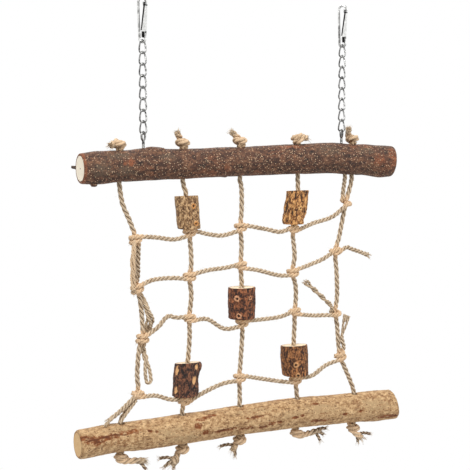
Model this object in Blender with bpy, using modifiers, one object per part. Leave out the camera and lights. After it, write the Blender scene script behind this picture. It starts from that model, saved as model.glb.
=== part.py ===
"""Bird climbing wall: two bark logs joined by a knotted rope net, hung from two chains with snap clips.

Metres, +Z up, +X along the logs. The origin is midway between the two clips, on the line
where a cage bar bears inside their hooks. Everything hangs below that line.
"""

import math

import bmesh
import bpy
from mathutils import Matrix, Vector

# Logs
TOP_LOG_LENGTH = 0.2665
TOP_LOG_DIAMETER = 0.0236
TOP_LOG_X = -0.0018
BOTTOM_LOG_LENGTH = 0.2760
BOTTOM_LOG_DIAMETER = 0.0232
BOTTOM_LOG_X = -0.0020
LOG_SPACING = 0.202

# Ropes of the net
ROPE_DIAMETER = 0.0034
CROSS_ROPE_DIAMETER = 0.0032
ROPE_HOLE_CLEARANCE = 0.0009
HITCH_GAP = 0.0005
KNOT_TURNS = 1.2

# Beads cut from branches: length and diameter of each
BEAD_SIZES = {
    "upper_left_bead": (0.0232, 0.0178),
    "upper_right_bead": (0.0260, 0.0174),
    "middle_bead": (0.0236, 0.0212),
    "lower_left_bead": (0.0246, 0.0198),
    "lower_right_bead": (0.0238, 0.0216),
}

# Chains and screw eyes
LEFT_CHAIN_X = -0.0860
RIGHT_CHAIN_X = 0.0830
LINK_PITCH = 0.0084
LINK_WIRE = 0.0012
LINK_WIDTH = 0.0060
EYE_WIRE = 0.0016
EYE_WIDTH = 0.0080
EYE_STAND = 0.0135
EYE_SHANK_DIAMETER = 0.0022
EYE_DEPTH = 0.0150

# Snap clips
CLIP_WIRE = 0.0018
CLIP_REACH = 0.0300
HOOK_WIDTH = 0.0060
CLIP_EYE_WIDTH = 0.0047
NOSE_LENGTH = 0.0014
SPINE_FOOT = math.radians(50)
LUG_DIAMETER = 0.0031
GATE_THICKNESS = 0.0008
GATE_EAR_THICKNESS = 0.0006
GATE_LAP = 0.0014
GATE_STAND_OUT = 0.0004
GATE_PIVOT_OFFSET = 0.0011
GATE_PIVOT_RISE = 0.0007
GATE_SLOT_HEIGHT = 0.0053
RIVET_DIAMETER = 0.0009
RIVET_HEAD_DIAMETER = 0.0019
RIVET_HEAD_THICKNESS = 0.0004
RIVET_CLEARANCE = 0.0002

# Free space kept between pieces that touch, and under a bead on its hitch
TOUCH_GAP = 0.0003
BEAD_SEAT_GAP = 0.0007

# The net folds along a level line this far below the top log's axis, between two cross ropes
FOLD_DROP = 0.0880

LINK_NUMBERS = range(1, 9)
EIGHTH_TURN = math.radians(45)
CRISP_EDGE = math.radians(40)
CHAINS = {"left": LEFT_CHAIN_X, "right": RIGHT_CHAIN_X}

EYE_CONTACT_Z = -CLIP_REACH - len(LINK_NUMBERS) * LINK_PITCH
TOP_LOG_Z = EYE_CONTACT_Z - EYE_STAND - TOP_LOG_DIAMETER / 2
BOTTOM_LOG_Z = TOP_LOG_Z - LOG_SPACING

# Share of the way along each log, and the rise of its heart and its girth there, as shares of its diameter
TOP_LOG_STATIONS = (
    (0.00, 0.01, 0.95),
    (0.05, 0.03, 1.03),
    (0.12, 0.06, 0.97),
    (0.20, 0.09, 1.03),
    (0.27, 0.08, 0.96),
    (0.47, 0.11, 0.95),
    (0.60, 0.14, 0.98),
    (0.77, 0.16, 1.03),
    (0.88, 0.08, 1.05),
    (0.96, 0.00, 1.10),
    (1.00, -0.01, 1.05),
)
BOTTOM_LOG_STATIONS = (
    (0.00, -0.07, 0.94),
    (0.10, 0.00, 0.94),
    (0.20, -0.02, 0.98),
    (0.32, 0.01, 0.99),
    (0.48, 0.06, 0.99),
    (0.65, 0.07, 1.04),
    (0.83, 0.00, 1.02),
    (0.94, -0.05, 1.08),
    (1.00, -0.07, 1.06),
)

# Where the ropes pass through the logs: across, and up from the top log's axis
TOP_HOLES = ((-0.1050, 0.0), (-0.0545, 0.0), (-0.0070, 0.0), (0.0435, 0.0), (0.0930, 0.0))
BOTTOM_HOLES = (
    (-0.1060, -0.2020),
    (-0.0560, -0.2020),
    (-0.0070, -0.2020),
    (0.0440, -0.2020),
    (0.0970, -0.2020),
)

# Hitches of each cross rope on the five hanging ropes: across, and up from the top log's axis
HITCHES = (
    ((-0.0930, -0.0525), (-0.0495, -0.0497), (-0.0065, -0.0477), (0.0395, -0.0512), (0.0880, -0.0316)),
    ((-0.0920, -0.0898), (-0.0495, -0.0836), (-0.0062, -0.0776), (0.0395, -0.0859), (0.0784, -0.0710)),
    ((-0.0878, -0.1280), (-0.0498, -0.1156), (-0.0052, -0.1227), (0.0415, -0.1174), (0.0789, -0.1210)),
    ((-0.0922, -0.1702), (-0.0545, -0.1796), (-0.0072, -0.1660), (0.0425, -0.1730), (0.0838, -0.1576)),
)

# Points of each hanging rope between the logs and its hitches, one list for each gap
HANGING_POINTS = (
    (
        ((-0.1030, -0.0220), (-0.0975, -0.0390)),
        ((-0.0942, -0.0700),),
        ((-0.0895, -0.1000), (-0.0880, -0.1170)),
        ((-0.0905, -0.1345), (-0.0925, -0.1550)),
        ((-0.0975, -0.1775), (-0.1030, -0.1845)),
    ),
    (
        ((-0.0520, -0.0210),),
        ((-0.0482, -0.0640), (-0.0480, -0.0760)),
        ((-0.0480, -0.0980),),
        ((-0.0495, -0.1290), (-0.0510, -0.1480)),
        (),
    ),
    (
        ((-0.0056, -0.0180), (-0.0055, -0.0350)),
        ((-0.0055, -0.0620),),
        ((-0.0053, -0.0930),),
        ((-0.0047, -0.1300), (-0.0060, -0.1500)),
        ((-0.0070, -0.1790),),
    ),
    (
        ((0.0438, -0.0200),),
        ((0.0400, -0.0610), (0.0412, -0.0732)),
        ((0.0422, -0.0970), (0.0425, -0.1080)),
        ((0.0415, -0.1280), (0.0408, -0.1430)),
        (),
    ),
    (
        ((0.0920, -0.0180),),
        ((0.0850, -0.0450), (0.0815, -0.0610)),
        ((0.0798, -0.0890), (0.0804, -0.1080)),
        ((0.0806, -0.1310), (0.0820, -0.1460)),
        ((0.0886, -0.1683), (0.0945, -0.1810)),
    ),
)

# Points of each cross rope between its hitches, one list for each span
CROSS_POINTS = (
    (
        ((-0.0777, -0.0522), (-0.0620, -0.0545)),
        ((-0.0339, -0.0520), (-0.0220, -0.0534)),
        ((0.0157, -0.0505), (0.0275, -0.0530)),
        ((0.0567, -0.0476), (0.0745, -0.0430)),
    ),
    (
        ((-0.0800, -0.0842), (-0.0634, -0.0838)),
        ((-0.0340, -0.0795), (-0.0190, -0.0785)),
        ((0.0088, -0.0824), (0.0270, -0.0875)),
        ((0.0570, -0.0797), (0.0665, -0.0765)),
    ),
    (
        ((-0.0760, -0.1202), (-0.0681, -0.1128), (-0.0610, -0.1143)),
        ((-0.0358, -0.1174), (-0.0206, -0.1262)),
        ((0.0106, -0.1214), (0.0290, -0.1203)),
        ((0.0573, -0.1218), (0.0670, -0.1224)),
    ),
    (
        ((-0.0787, -0.1727), (-0.0665, -0.1770)),
        ((-0.0419, -0.1759), (-0.0223, -0.1693)),
        ((0.0108, -0.1687), (0.0285, -0.1728)),
        ((0.0568, -0.1709), (0.0700, -0.1635)),
    ),
)

# Loose ends of the cross ropes: across, towards the back, and up
CROSS_START_POINTS = {
    3: ((-0.1165, -0.0030, -0.1872), (-0.1085, -0.0040, -0.1815)),
}
CROSS_END_POINTS = {
    0: ((0.0845, 0.0000, -0.0245), (0.0866, 0.0000, -0.0118)),
    1: (
        (0.0862, -0.0040, -0.0682),
        (0.0920, -0.0036, -0.0700),
        (0.0985, -0.0032, -0.0722),
        (0.1072, -0.0030, -0.0756),
    ),
    2: (
        (0.0752, -0.0005, -0.1163),
        (0.0700, -0.0010, -0.1112),
        (0.0618, -0.0015, -0.1040),
        (0.0508, -0.0015, -0.0944),
    ),
    3: (
        (0.0880, 0.0000, -0.1495),
        (0.0868, 0.0000, -0.1400),
        (0.0872, -0.0005, -0.1310),
        (0.0892, -0.0010, -0.1225),
    ),
}

# Quarter turns of each cross rope round the last hanging rope, and whether it climbs as it turns
CROSS_END_TURNS = ((3, True), (4, False), (3, True), (5, True))

# The left edge rope runs beside the first hanging rope and passes behind two hitches
EDGE_POINTS = (
    (-0.0889, 0.0000, -0.0594),
    (-0.0902, 0.0000, -0.0700),
    (-0.0898, 0.0030, -0.0800),
    (-0.0900, 0.0076, -0.0898),
    (-0.0872, 0.0035, -0.0985),
    (-0.0848, 0.0000, -0.1060),
    (-0.0826, 0.0025, -0.1170),
    (-0.0842, 0.0076, -0.1280),
    (-0.0862, 0.0036, -0.1365),
    (-0.0860, 0.0000, -0.1450),
    (-0.0835, 0.0000, -0.1620),
)

# Each rope's tail where it leaves its stopper knot: heading in degrees, reach, and rise or drop
TOP_TAILS = (
    (200, 0.0080, 0.0020),
    (190, 0.0100, 0.0070),
    (170, 0.0105, 0.0070),
    (10, 0.0095, 0.0030),
    (250, 0.0100, 0.0075),
)
BOTTOM_TAILS = (
    (-10, 0.0190, 0.0105),
    (200, 0.0150, 0.0150),
    (190, 0.0140, 0.0095),
    (0, 0.0240, 0.0060),
    (-50, 0.0110, 0.0150),
)

# Beads on the hanging ropes, from left to right, above the hitches of each cross rope
BEAD_ROWS = (
    (None, "upper_left_bead", None, "upper_right_bead", None),
    (None, None, None, None, None),
    (None, None, "middle_bead", None, None),
    (None, "lower_left_bead", None, "lower_right_bead", None),
)
BEAD_HITCHES = {
    bead: (column, row) for row, beads in enumerate(BEAD_ROWS) for column, bead in enumerate(beads) if bead
}

ROPE_RADIUS = ROPE_DIAMETER / 2
CROSS_RADIUS = CROSS_ROPE_DIAMETER / 2
HITCH_RADIUS = ROPE_RADIUS + CROSS_RADIUS + HITCH_GAP
TURN_GAP = 2 * HITCH_GAP
HITCH_PITCH = CROSS_ROPE_DIAMETER + TURN_GAP
HITCH_APPROACH = HITCH_RADIUS + 2 * CROSS_RADIUS
KNOT_RADIUS = ROPE_DIAMETER + TURN_GAP
KNOT_PITCH = ROPE_DIAMETER + TURN_GAP
SHORTEST_STEP = 0.7 * ROPE_DIAMETER
BEND_STEP = math.radians(22)
ROPE_HOLE_RADIUS = ROPE_RADIUS + ROPE_HOLE_CLEARANCE
GATE_WIDTH = CLIP_WIRE + 2 * (TOUCH_GAP + GATE_EAR_THICKNESS)

SWING_Z = TOP_LOG_Z - TOP_LOG_DIAMETER / 2
NET_STRETCH = -LOG_SPACING / BOTTOM_HOLES[0][1]
FOLD_Z = TOP_LOG_Z - FOLD_DROP * NET_STRETCH
SETTLE_Z = BOTTOM_LOG_Z + BOTTOM_LOG_DIAMETER / 2

for leftover in list(bpy.data.objects):
    bpy.data.objects.remove(leftover)

parts = bpy.data.collections.new("bird_climbing_wall")
cutters = bpy.data.collections.new("cutters")
bpy.context.scene.collection.children.link(parts)
bpy.context.scene.collection.children.link(cutters)


def material(name, colour, roughness, metallic=0.0):
    """A plain finish from the photographed colour."""
    made = bpy.data.materials.new(name)
    made.use_nodes = True
    shader = made.node_tree.nodes["Principled BSDF"]
    shader.inputs["Base Color"].default_value = (*colour, 1)
    shader.inputs["Roughness"].default_value = roughness
    shader.inputs["Metallic"].default_value = metallic
    return made


DARK_BARK = material("dark_bark", (0.13, 0.075, 0.055), 0.85)
PALE_BARK = material("pale_bark", (0.48, 0.33, 0.19), 0.85)
BEAD_BARK = material("bead_bark", (0.20, 0.115, 0.06), 0.85)
SISAL = material("sisal", (0.58, 0.40, 0.21), 0.9)
NICKEL = material("nickel", (0.72, 0.72, 0.71), 0.25, 1.0)


def smooth(points):
    """Points on a smooth curve through the given ones, closer together where it bends."""
    points = [Vector(p) for p in points]
    padded = [2 * points[0] - points[1], *points, 2 * points[-1] - points[-2]]
    run = []
    for before, start, end, after in zip(padded, padded[1:], padded[2:], padded[3:]):
        chord = end - start
        leave = (end - before).normalized() * chord.length
        arrive = (after - start).normalized() * chord.length
        bend = leave.angle(chord) + arrive.angle(chord)
        steps = max(1, min(math.ceil(bend / BEND_STEP), int(chord.length / SHORTEST_STEP)))
        for step in range(steps):
            t = step / steps
            run.append(
                start * (2 * t**3 - 3 * t**2 + 1)
                + leave * (t**3 - 2 * t**2 + t)
                + end * (3 * t**2 - 2 * t**3)
                + arrive * (t**3 - t**2)
            )
    run.append(points[-1])
    return run


def least_gap(points, radius):
    """Clear space between a tube's turns, measured on its points and the middles between them."""
    fine = [spot for a, b in zip(points, points[1:]) for spot in (a, (a + b) / 2)]
    along = [0.0]
    for a, b in zip(fine, fine[1:]):
        along.append(along[-1] + (b - a).length)
    least = math.inf
    for i, a in enumerate(fine):
        for j in range(i + 1, len(fine)):
            if along[j] - along[i] > math.pi * 2 * radius:
                least = min(least, (fine[j] - a).length - 2 * radius)
    return least


def tube(name, points, radius, finish, origin, closed=False, resolution=1, girths=None):
    """A bent wire, rope or branch: a bevelled curve with its origin where the piece turns."""
    curve = bpy.data.curves.new(name, "CURVE")
    curve.dimensions = "3D"
    curve.bevel_depth = radius
    curve.bevel_resolution = resolution
    curve.use_fill_caps = True
    spline = curve.splines.new("POLY")
    spline.points.add(len(points) - 1)
    spline.use_cyclic_u = closed
    spline.use_smooth = True
    for i, (knot, place) in enumerate(zip(spline.points, points)):
        knot.co = (*(Vector(place) - Vector(origin)), 1)
        knot.radius = girths[i] if girths else 1
    curve.materials.append(finish)
    made = bpy.data.objects.new(name, curve)
    made.location = origin
    parts.objects.link(made)
    return made


def round_off(mesh):
    """Shade the round faces smooth and keep the corners crisp."""
    mesh.shade_smooth()
    mesh.set_sharp_from_angle(angle=CRISP_EDGE)


def as_mesh(piece):
    """The curve piece as a welded mesh, ready for Boolean cuts."""
    bpy.context.view_layer.update()
    name = piece.name
    evaluated = piece.evaluated_get(bpy.context.evaluated_depsgraph_get())
    mesh = bpy.data.meshes.new_from_object(evaluated)
    welded = bmesh.new()
    welded.from_mesh(mesh)
    bmesh.ops.remove_doubles(welded, verts=welded.verts, dist=1e-6)
    bmesh.ops.recalc_face_normals(welded, faces=welded.faces)
    welded.to_mesh(mesh)
    welded.free()
    round_off(mesh)
    made = bpy.data.objects.new(name, mesh)
    made.matrix_world = piece.matrix_world.copy()
    for holder in piece.users_collection:
        holder.objects.link(made)
    bpy.data.objects.remove(piece)
    made.name = name
    return made


def rod(name, radius, length, frame, sides=12, taper=1.0):
    """A round bar centred on frame, along its Z axis."""
    shape = bmesh.new()
    bmesh.ops.create_cone(
        shape, cap_ends=True, segments=sides, radius1=radius * taper, radius2=radius, depth=length
    )
    mesh = bpy.data.meshes.new(name)
    shape.to_mesh(mesh)
    shape.free()
    round_off(mesh)
    made = bpy.data.objects.new(name, mesh)
    made.matrix_world = frame
    parts.objects.link(made)
    return made


def combine(piece, tool, operation):
    """Cut a piece by a tool or join the tool to it, and put the tool with the cutters."""
    parts.objects.unlink(tool)
    cutters.objects.link(tool)
    tool.hide_render = True
    tool.display_type = "WIRE"
    change = piece.modifiers.new(tool.name, "BOOLEAN")
    change.operation = operation
    change.solver = "EXACT"
    change.object = tool


def net_point(across, up, back=0.0):
    """A place in the net, which is drawn from the top log's axis and stretches to the bottom log."""
    return Vector((across, back, TOP_LOG_Z + up * NET_STRETCH))


def log_section(stations, middle, length, diameter, x):
    """Rise of a log's heart above its axis and its radius at x. middle is the X of the log's middle."""
    share = min(max((x - middle) / length + 0.5, 0), 1)
    for (a, rise_a, girth_a), (b, rise_b, girth_b) in zip(stations, stations[1:]):
        if share <= b:
            t = (share - a) / (b - a)
            ease = t * t * (3 - 2 * t)
            rise = rise_a + (rise_b - rise_a) * ease
            girth = girth_a + (girth_b - girth_a) * ease
            return rise * diameter, girth * diameter / 2


def top_log_faces(x):
    """Heights of the top log's underside and top at x."""
    rise, radius = log_section(TOP_LOG_STATIONS, TOP_LOG_X, TOP_LOG_LENGTH, TOP_LOG_DIAMETER, x)
    return TOP_LOG_Z + rise - radius, TOP_LOG_Z + rise + radius


def bottom_log_faces(x):
    """Heights of the bottom log's underside and top at x."""
    rise, radius = log_section(
        BOTTOM_LOG_STATIONS, BOTTOM_LOG_X, BOTTOM_LOG_LENGTH, BOTTOM_LOG_DIAMETER, x
    )
    return BOTTOM_LOG_Z + rise - radius, BOTTOM_LOG_Z + rise + radius


def log(name, stations, middle, length, diameter, height, finish, origin):
    """A branch with a slight bow and swellings, sawn square at both ends."""
    rings = 27
    points = []
    girths = []
    for ring in range(rings + 1):
        x = middle + length * (ring / rings - 0.5)
        rise, radius = log_section(stations, middle, length, diameter, x)
        points.append((x, 0, height + rise))
        girths.append(2 * radius / diameter)
    return as_mesh(tube(name, points, diameter / 2, finish, origin, resolution=8, girths=girths))


def make_logs():
    """Both logs, with their rope holes and the screw eyes' pilot holes."""
    eye_pivot = (LEFT_CHAIN_X, 0, EYE_CONTACT_Z)
    top = log(
        "top_log",
        TOP_LOG_STATIONS,
        TOP_LOG_X,
        TOP_LOG_LENGTH,
        TOP_LOG_DIAMETER,
        TOP_LOG_Z,
        DARK_BARK,
        eye_pivot,
    )
    bottom = log(
        "bottom_log",
        BOTTOM_LOG_STATIONS,
        BOTTOM_LOG_X,
        BOTTOM_LOG_LENGTH,
        BOTTOM_LOG_DIAMETER,
        BOTTOM_LOG_Z,
        PALE_BARK,
        (0, 0, SETTLE_Z),
    )
    for column in range(len(TOP_HOLES)):
        number = column + 1
        drill = rod(
            f"top_rope_drill_{number}",
            ROPE_HOLE_RADIUS,
            3 * TOP_LOG_DIAMETER,
            Matrix.Translation(net_point(*TOP_HOLES[column])),
        )
        combine(top, drill, "DIFFERENCE")
        drill = rod(
            f"bottom_rope_drill_{number}",
            ROPE_HOLE_RADIUS,
            3 * BOTTOM_LOG_DIAMETER,
            Matrix.Translation(net_point(*BOTTOM_HOLES[column])),
        )
        combine(bottom, drill, "DIFFERENCE")
    for side, x in CHAINS.items():
        surface = top_log_faces(x)[1]
        depth = EYE_DEPTH + TOUCH_GAP
        drill = rod(
            f"{side}_pilot_drill",
            EYE_SHANK_DIAMETER / 2 + TOUCH_GAP,
            2 * depth,
            Matrix.Translation((x, 0, surface)),
        )
        combine(top, drill, "DIFFERENCE")


def stopper(hole_x, surface, direction, heading, reach, rise):
    """A rope's way out of a log: clear of the wood, over, round itself, and off in a tail."""
    low = 1.5 * ROPE_RADIUS
    high = low + KNOT_TURNS * KNOT_PITCH + ROPE_RADIUS / 2
    turn = 2 * math.pi * KNOT_TURNS
    last = math.radians(heading) - math.pi / 2
    first = last - turn
    points = [(0, 0, low), (0, 0, (low + high) / 2), (0, 0, high)]
    for step in (45, 90, 135):
        lift = math.sin(math.radians(step)) * KNOT_RADIUS / 2
        out = (1 - math.cos(math.radians(step))) * KNOT_RADIUS / 2
        points.append((out * math.cos(first), out * math.sin(first), high + lift))
    steps = 10
    for step in range(steps + 1):
        angle = first + turn * step / steps
        height = high - ROPE_RADIUS / 2 - (high - ROPE_RADIUS / 2 - low) * step / steps
        points.append((KNOT_RADIUS * math.cos(angle), KNOT_RADIUS * math.sin(angle), height))
    end = Vector(points[-1])
    way = Vector((math.cos(math.radians(heading)), math.sin(math.radians(heading)), 0))
    straight = 1.5 * ROPE_DIAMETER
    for share in (0, 0.5, 1):
        out = straight + (reach - straight) * share
        points.append(end + way * out + Vector((0, 0, rise * share**2)))
    return [Vector((hole_x + p[0], p[1], surface + direction * p[2])) for p in points]


def rope_route(column):
    """Points of a hanging rope from its top tail to its bottom tail, as drawn."""
    x = TOP_HOLES[column][0]
    under, over = top_log_faces(x)
    run = stopper(x, over, 1, *TOP_TAILS[column])[::-1]
    run += [Vector((x, 0, TOP_LOG_Z)), Vector((x, 0, under - ROPE_RADIUS))]
    for gap, points in enumerate(HANGING_POINTS[column]):
        run += [net_point(*p) for p in points]
        if gap < len(HITCHES):
            knot = net_point(*HITCHES[gap][column])
            if (column, gap) in BEAD_HITCHES.values():
                run += [run[-1].lerp(knot, share) for share in (0.33, 0.66)]
            run.append(knot)
    x = BOTTOM_HOLES[column][0]
    under, over = bottom_log_faces(x)
    run += [Vector((x, 0, over + ROPE_RADIUS)), Vector((x, 0, BOTTOM_LOG_Z))]
    run += stopper(x, under, -1, *BOTTOM_TAILS[column])
    return run


def hitch_axis(row, column):
    """Direction of a hanging rope, upwards, where a cross rope is hitched round it."""
    here = net_point(*HITCHES[row][column])
    above = HANGING_POINTS[column][row]
    upper = net_point(*above[-1]) if above else net_point(*HITCHES[row - 1][column])
    if (column, row) in BEAD_HITCHES.values():
        return (upper - here).normalized()
    below = HANGING_POINTS[column][row + 1]
    lower = net_point(*below[0]) if below else Vector((BOTTOM_HOLES[column][0], 0, SETTLE_Z))
    return ((upper - here).normalized() + (here - lower).normalized()).normalized()


def make_hanging_ropes():
    """Five ropes through both logs, and the rope that doubles the left one."""
    origin = (0, 0, SWING_Z)
    for column in range(len(TOP_HOLES)):
        name = f"hanging_rope_{column + 1}"
        run = smooth(rope_route(column))
        tube(name, run, ROPE_RADIUS, SISAL, origin)
        print(f"{name}: least gap to itself {least_gap(run, ROPE_RADIUS) * 1000:.2f} mm")
    points = [net_point(x, z, y) for x, y, z in EDGE_POINTS]
    tube("left_edge_rope", smooth(points), CROSS_RADIUS, SISAL, origin)


def hitch_side(row, column):
    """Direction across a hitch, to the right and square to the hanging rope in it."""
    axis = hitch_axis(row, column)
    return Vector((axis.z, 0, -axis.x))


def hitch(row, column, rising, quarters):
    """Points of a cross rope round a hanging rope, from the front, rising or falling as it turns."""
    centre = net_point(*HITCHES[row][column])
    axis = hitch_axis(row, column)
    across = hitch_side(row, column)
    back = Vector((0, 1, 0))
    steps = 2 * quarters
    points = []
    for step in range(steps + 1):
        angle = -math.pi / 2 + math.pi / 2 * quarters * step / steps
        climb = (step * quarters / steps / 4 - 0.5) * HITCH_PITCH * (1 if rising else -1)
        points.append(
            centre
            + (across * math.cos(angle) + back * math.sin(angle)) * HITCH_RADIUS
            + axis * climb
        )
    return points


def cross_route(row):
    """Points of one cross rope from its left end to its right end."""
    spans = CROSS_POINTS[row]
    columns = len(HITCHES[row])
    front = -HITCH_RADIUS
    run = [net_point(x, z, y) for x, y, z in CROSS_START_POINTS.get(row, ())]
    for column, knot in enumerate(HITCHES[row]):
        before = spans[column - 1][-1][1] if column else knot[1]
        after = spans[column][0][1] if column < columns - 1 else knot[1]
        rising = after > before
        quarters = 4
        if (column, row) in BEAD_HITCHES.values():
            rising = hitch_axis(row, column).x < 0
        if column == columns - 1:
            quarters, rising = CROSS_END_TURNS[row]
        turn = hitch(row, column, rising, quarters)
        aside = hitch_side(row, column) * HITCH_APPROACH
        run.append(turn[0] - aside)
        run += turn
        if quarters == 4:
            run.append(turn[-1] + aside)
        if column < columns - 1:
            run += [net_point(x, z, front * 0.45) for x, z in spans[column]]
    run += [net_point(x, z, y) for x, y, z in CROSS_END_POINTS[row]]
    return run


def make_cross_ropes():
    """Four ropes across the net, each hitched once round every hanging rope."""
    for row in range(len(HITCHES)):
        name = f"cross_rope_{row + 1}"
        origin = (0, 0, SWING_Z if row < 2 else FOLD_Z)
        run = smooth(cross_route(row))
        tube(name, run, CROSS_RADIUS, SISAL, origin)
        print(f"{name}: least gap to itself {least_gap(run, CROSS_RADIUS) * 1000:.2f} mm")


def make_beads():
    """Short bored lengths of branch, each resting on the hitch below it."""
    swell = (0.96, 1.0, 1.02, 0.99)
    for name, (column, row) in BEAD_HITCHES.items():
        length, diameter = BEAD_SIZES[name]
        axis = hitch_axis(row, column)
        foot = net_point(*HITCHES[row][column]) + axis * (
            (HITCH_PITCH + CROSS_ROPE_DIAMETER) / 2 + BEAD_SEAT_GAP
        )
        points = [foot + axis * length * step / (len(swell) - 1) for step in range(len(swell))]
        bead = as_mesh(tube(name, points, diameter / 2, BEAD_BARK, foot, resolution=6, girths=swell))
        middle = foot + axis * length / 2
        bore = rod(
            f"{name}_drill",
            ROPE_HOLE_RADIUS,
            2 * length,
            Matrix.Translation(middle) @ axis.to_track_quat("Z", "Y").to_matrix().to_4x4(),
        )
        combine(bead, bore, "DIFFERENCE")


def link_points(contact):
    """Centre line of a twisted link that hangs from contact: its two bends lie a quarter turn apart."""
    radius = LINK_WIRE / 2
    half_width = (LINK_WIDTH - LINK_WIRE) / 2
    half_length = (LINK_PITCH + LINK_WIRE + TOUCH_GAP) / 2
    flat = half_length - half_width
    outline = []
    for end in (1, -1):
        for step in range(5):
            angle = math.radians(45 * step)
            outline.append(
                (end * half_width * math.cos(angle), end * (flat + half_width * math.sin(angle)))
            )
        for step in (1, 2, 3):
            outline.append((-end * half_width, end * flat * (1 - step / 2)))
    middle = contact - Vector((0, 0, LINK_PITCH / 2))
    points = []
    for across, up in outline:
        twist = EIGHTH_TURN * up / half_length
        points.append(middle + Vector((across * math.cos(twist), across * math.sin(twist), up)))
    return points, radius


def make_chains():
    """The links on each side, hanging one in another."""
    for side, x in CHAINS.items():
        for number in LINK_NUMBERS:
            contact = Vector((x, 0, -CLIP_REACH - (number - 1) * LINK_PITCH))
            points, radius = link_points(contact)
            tube(f"{side}_link_{number}", points, radius, NICKEL, contact, closed=True)


def ring(name, width, wire, frame):
    """A closed wire ring in the XY plane of frame."""
    radius = (width - wire) / 2
    sides = 20
    points = []
    for side in range(sides):
        angle = 2 * math.pi * side / sides
        points.append(frame @ Vector((radius * math.cos(angle), radius * math.sin(angle), 0)))
    return as_mesh(tube(name, points, wire / 2, NICKEL, frame.translation, closed=True))


def plane_frame(x, z, turn):
    """A frame with its X level and turned about the upright, its Y up and its Z across the plane."""
    side = Vector((math.cos(turn), math.sin(turn), 0))
    up = Vector((0, 0, 1))
    frame = Matrix((side, up, side.cross(up))).transposed().to_4x4()
    frame.translation = Vector((x, 0, z))
    return frame


def make_screw_eyes():
    """Wire eyes with pointed shanks, screwed into the top log."""
    for side, x in CHAINS.items():
        radius = (EYE_WIDTH - EYE_WIRE) / 2
        crown = EYE_CONTACT_Z + EYE_WIRE / 2 + TOUCH_GAP / 2
        eye = ring(
            f"{side}_screw_eye", EYE_WIDTH, EYE_WIRE, plane_frame(x, crown - radius, EIGHTH_TURN)
        )
        top = crown - 2 * radius
        bottom = top_log_faces(x)[1] - EYE_DEPTH
        shank = rod(
            f"{side}_shank",
            EYE_SHANK_DIAMETER / 2,
            top - bottom,
            Matrix.Translation((x, 0, (top + bottom) / 2)),
            taper=0.5,
        )
        combine(eye, shank, "UNION")


def outline_plate(name, outline, thickness, frame):
    """A flat plate of the given outline, centred on the XY plane of frame."""
    curve = bpy.data.curves.new(name, "CURVE")
    curve.dimensions = "2D"
    curve.fill_mode = "BOTH"
    curve.extrude = thickness / 2
    spline = curve.splines.new("POLY")
    spline.points.add(len(outline) - 1)
    spline.use_cyclic_u = True
    for knot, (x, y) in zip(spline.points, outline):
        knot.co = (x, y, 0, 1)
    curve.materials.append(NICKEL)
    made = bpy.data.objects.new(name, curve)
    made.matrix_world = frame
    parts.objects.link(made)
    return as_mesh(made)


def arc(centre, radius, start, end, steps):
    """Points on an arc in degrees, both ends included."""
    angles = [math.radians(start + (end - start) * step / steps) for step in range(steps + 1)]
    return [
        (centre[0] + radius * math.cos(angle), centre[1] + radius * math.sin(angle)) for angle in angles
    ]


def make_clips():
    """Snap clips: a wire hook with a hanging eye, and a strip gate that turns on a rivet."""
    wire = CLIP_WIRE / 2
    hook_radius = HOOK_WIDTH / 2
    eye_radius = CLIP_EYE_WIDTH / 2
    eye_centre = -CLIP_REACH - wire - TOUCH_GAP / 2 + eye_radius
    pivot = Vector((GATE_PIVOT_OFFSET, eye_centre + eye_radius + GATE_PIVOT_RISE, 0))
    hook_centre = wire - hook_radius
    nose_end = hook_centre - NOSE_LENGTH
    for side, x in CHAINS.items():
        frame = plane_frame(x, 0, -EIGHTH_TURN)
        pin_frame = frame @ Matrix.Translation(pivot)
        foot = (-eye_radius * math.cos(SPINE_FOOT), eye_centre + eye_radius * math.sin(SPINE_FOOT))
        bend = (-hook_radius, nose_end - NOSE_LENGTH)
        crown = arc((0, hook_centre), hook_radius, 180, 0, 8)
        line = [foot, bend, *crown, (hook_radius, nose_end)]
        points = [frame @ Vector((across, up, 0)) for across, up in line]
        body = as_mesh(tube(f"{side}_clip_body", points, wire, NICKEL, (x, 0, 0), resolution=2))
        eye = ring(
            f"{side}_clip_eye",
            CLIP_EYE_WIDTH + CLIP_WIRE,
            CLIP_WIRE,
            plane_frame(x, eye_centre, -EIGHTH_TURN),
        )
        lug = rod(f"{side}_clip_lug", LUG_DIAMETER / 2, CLIP_WIRE, pin_frame, sides=16)
        combine(body, eye, "UNION")
        combine(body, lug, "UNION")
        combine(body, rivet_drill(f"{side}_lug_drill", pin_frame), "DIFFERENCE")
        make_gate(side, hook_radius, nose_end, pivot, pin_frame)
        make_rivet(f"{side}_clip_rivet", pin_frame)


def rivet_drill(name, frame):
    """A drill for the rivet's running hole."""
    return rod(name, RIVET_DIAMETER / 2 + RIVET_CLEARANCE, 2 * GATE_WIDTH, frame)


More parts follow.
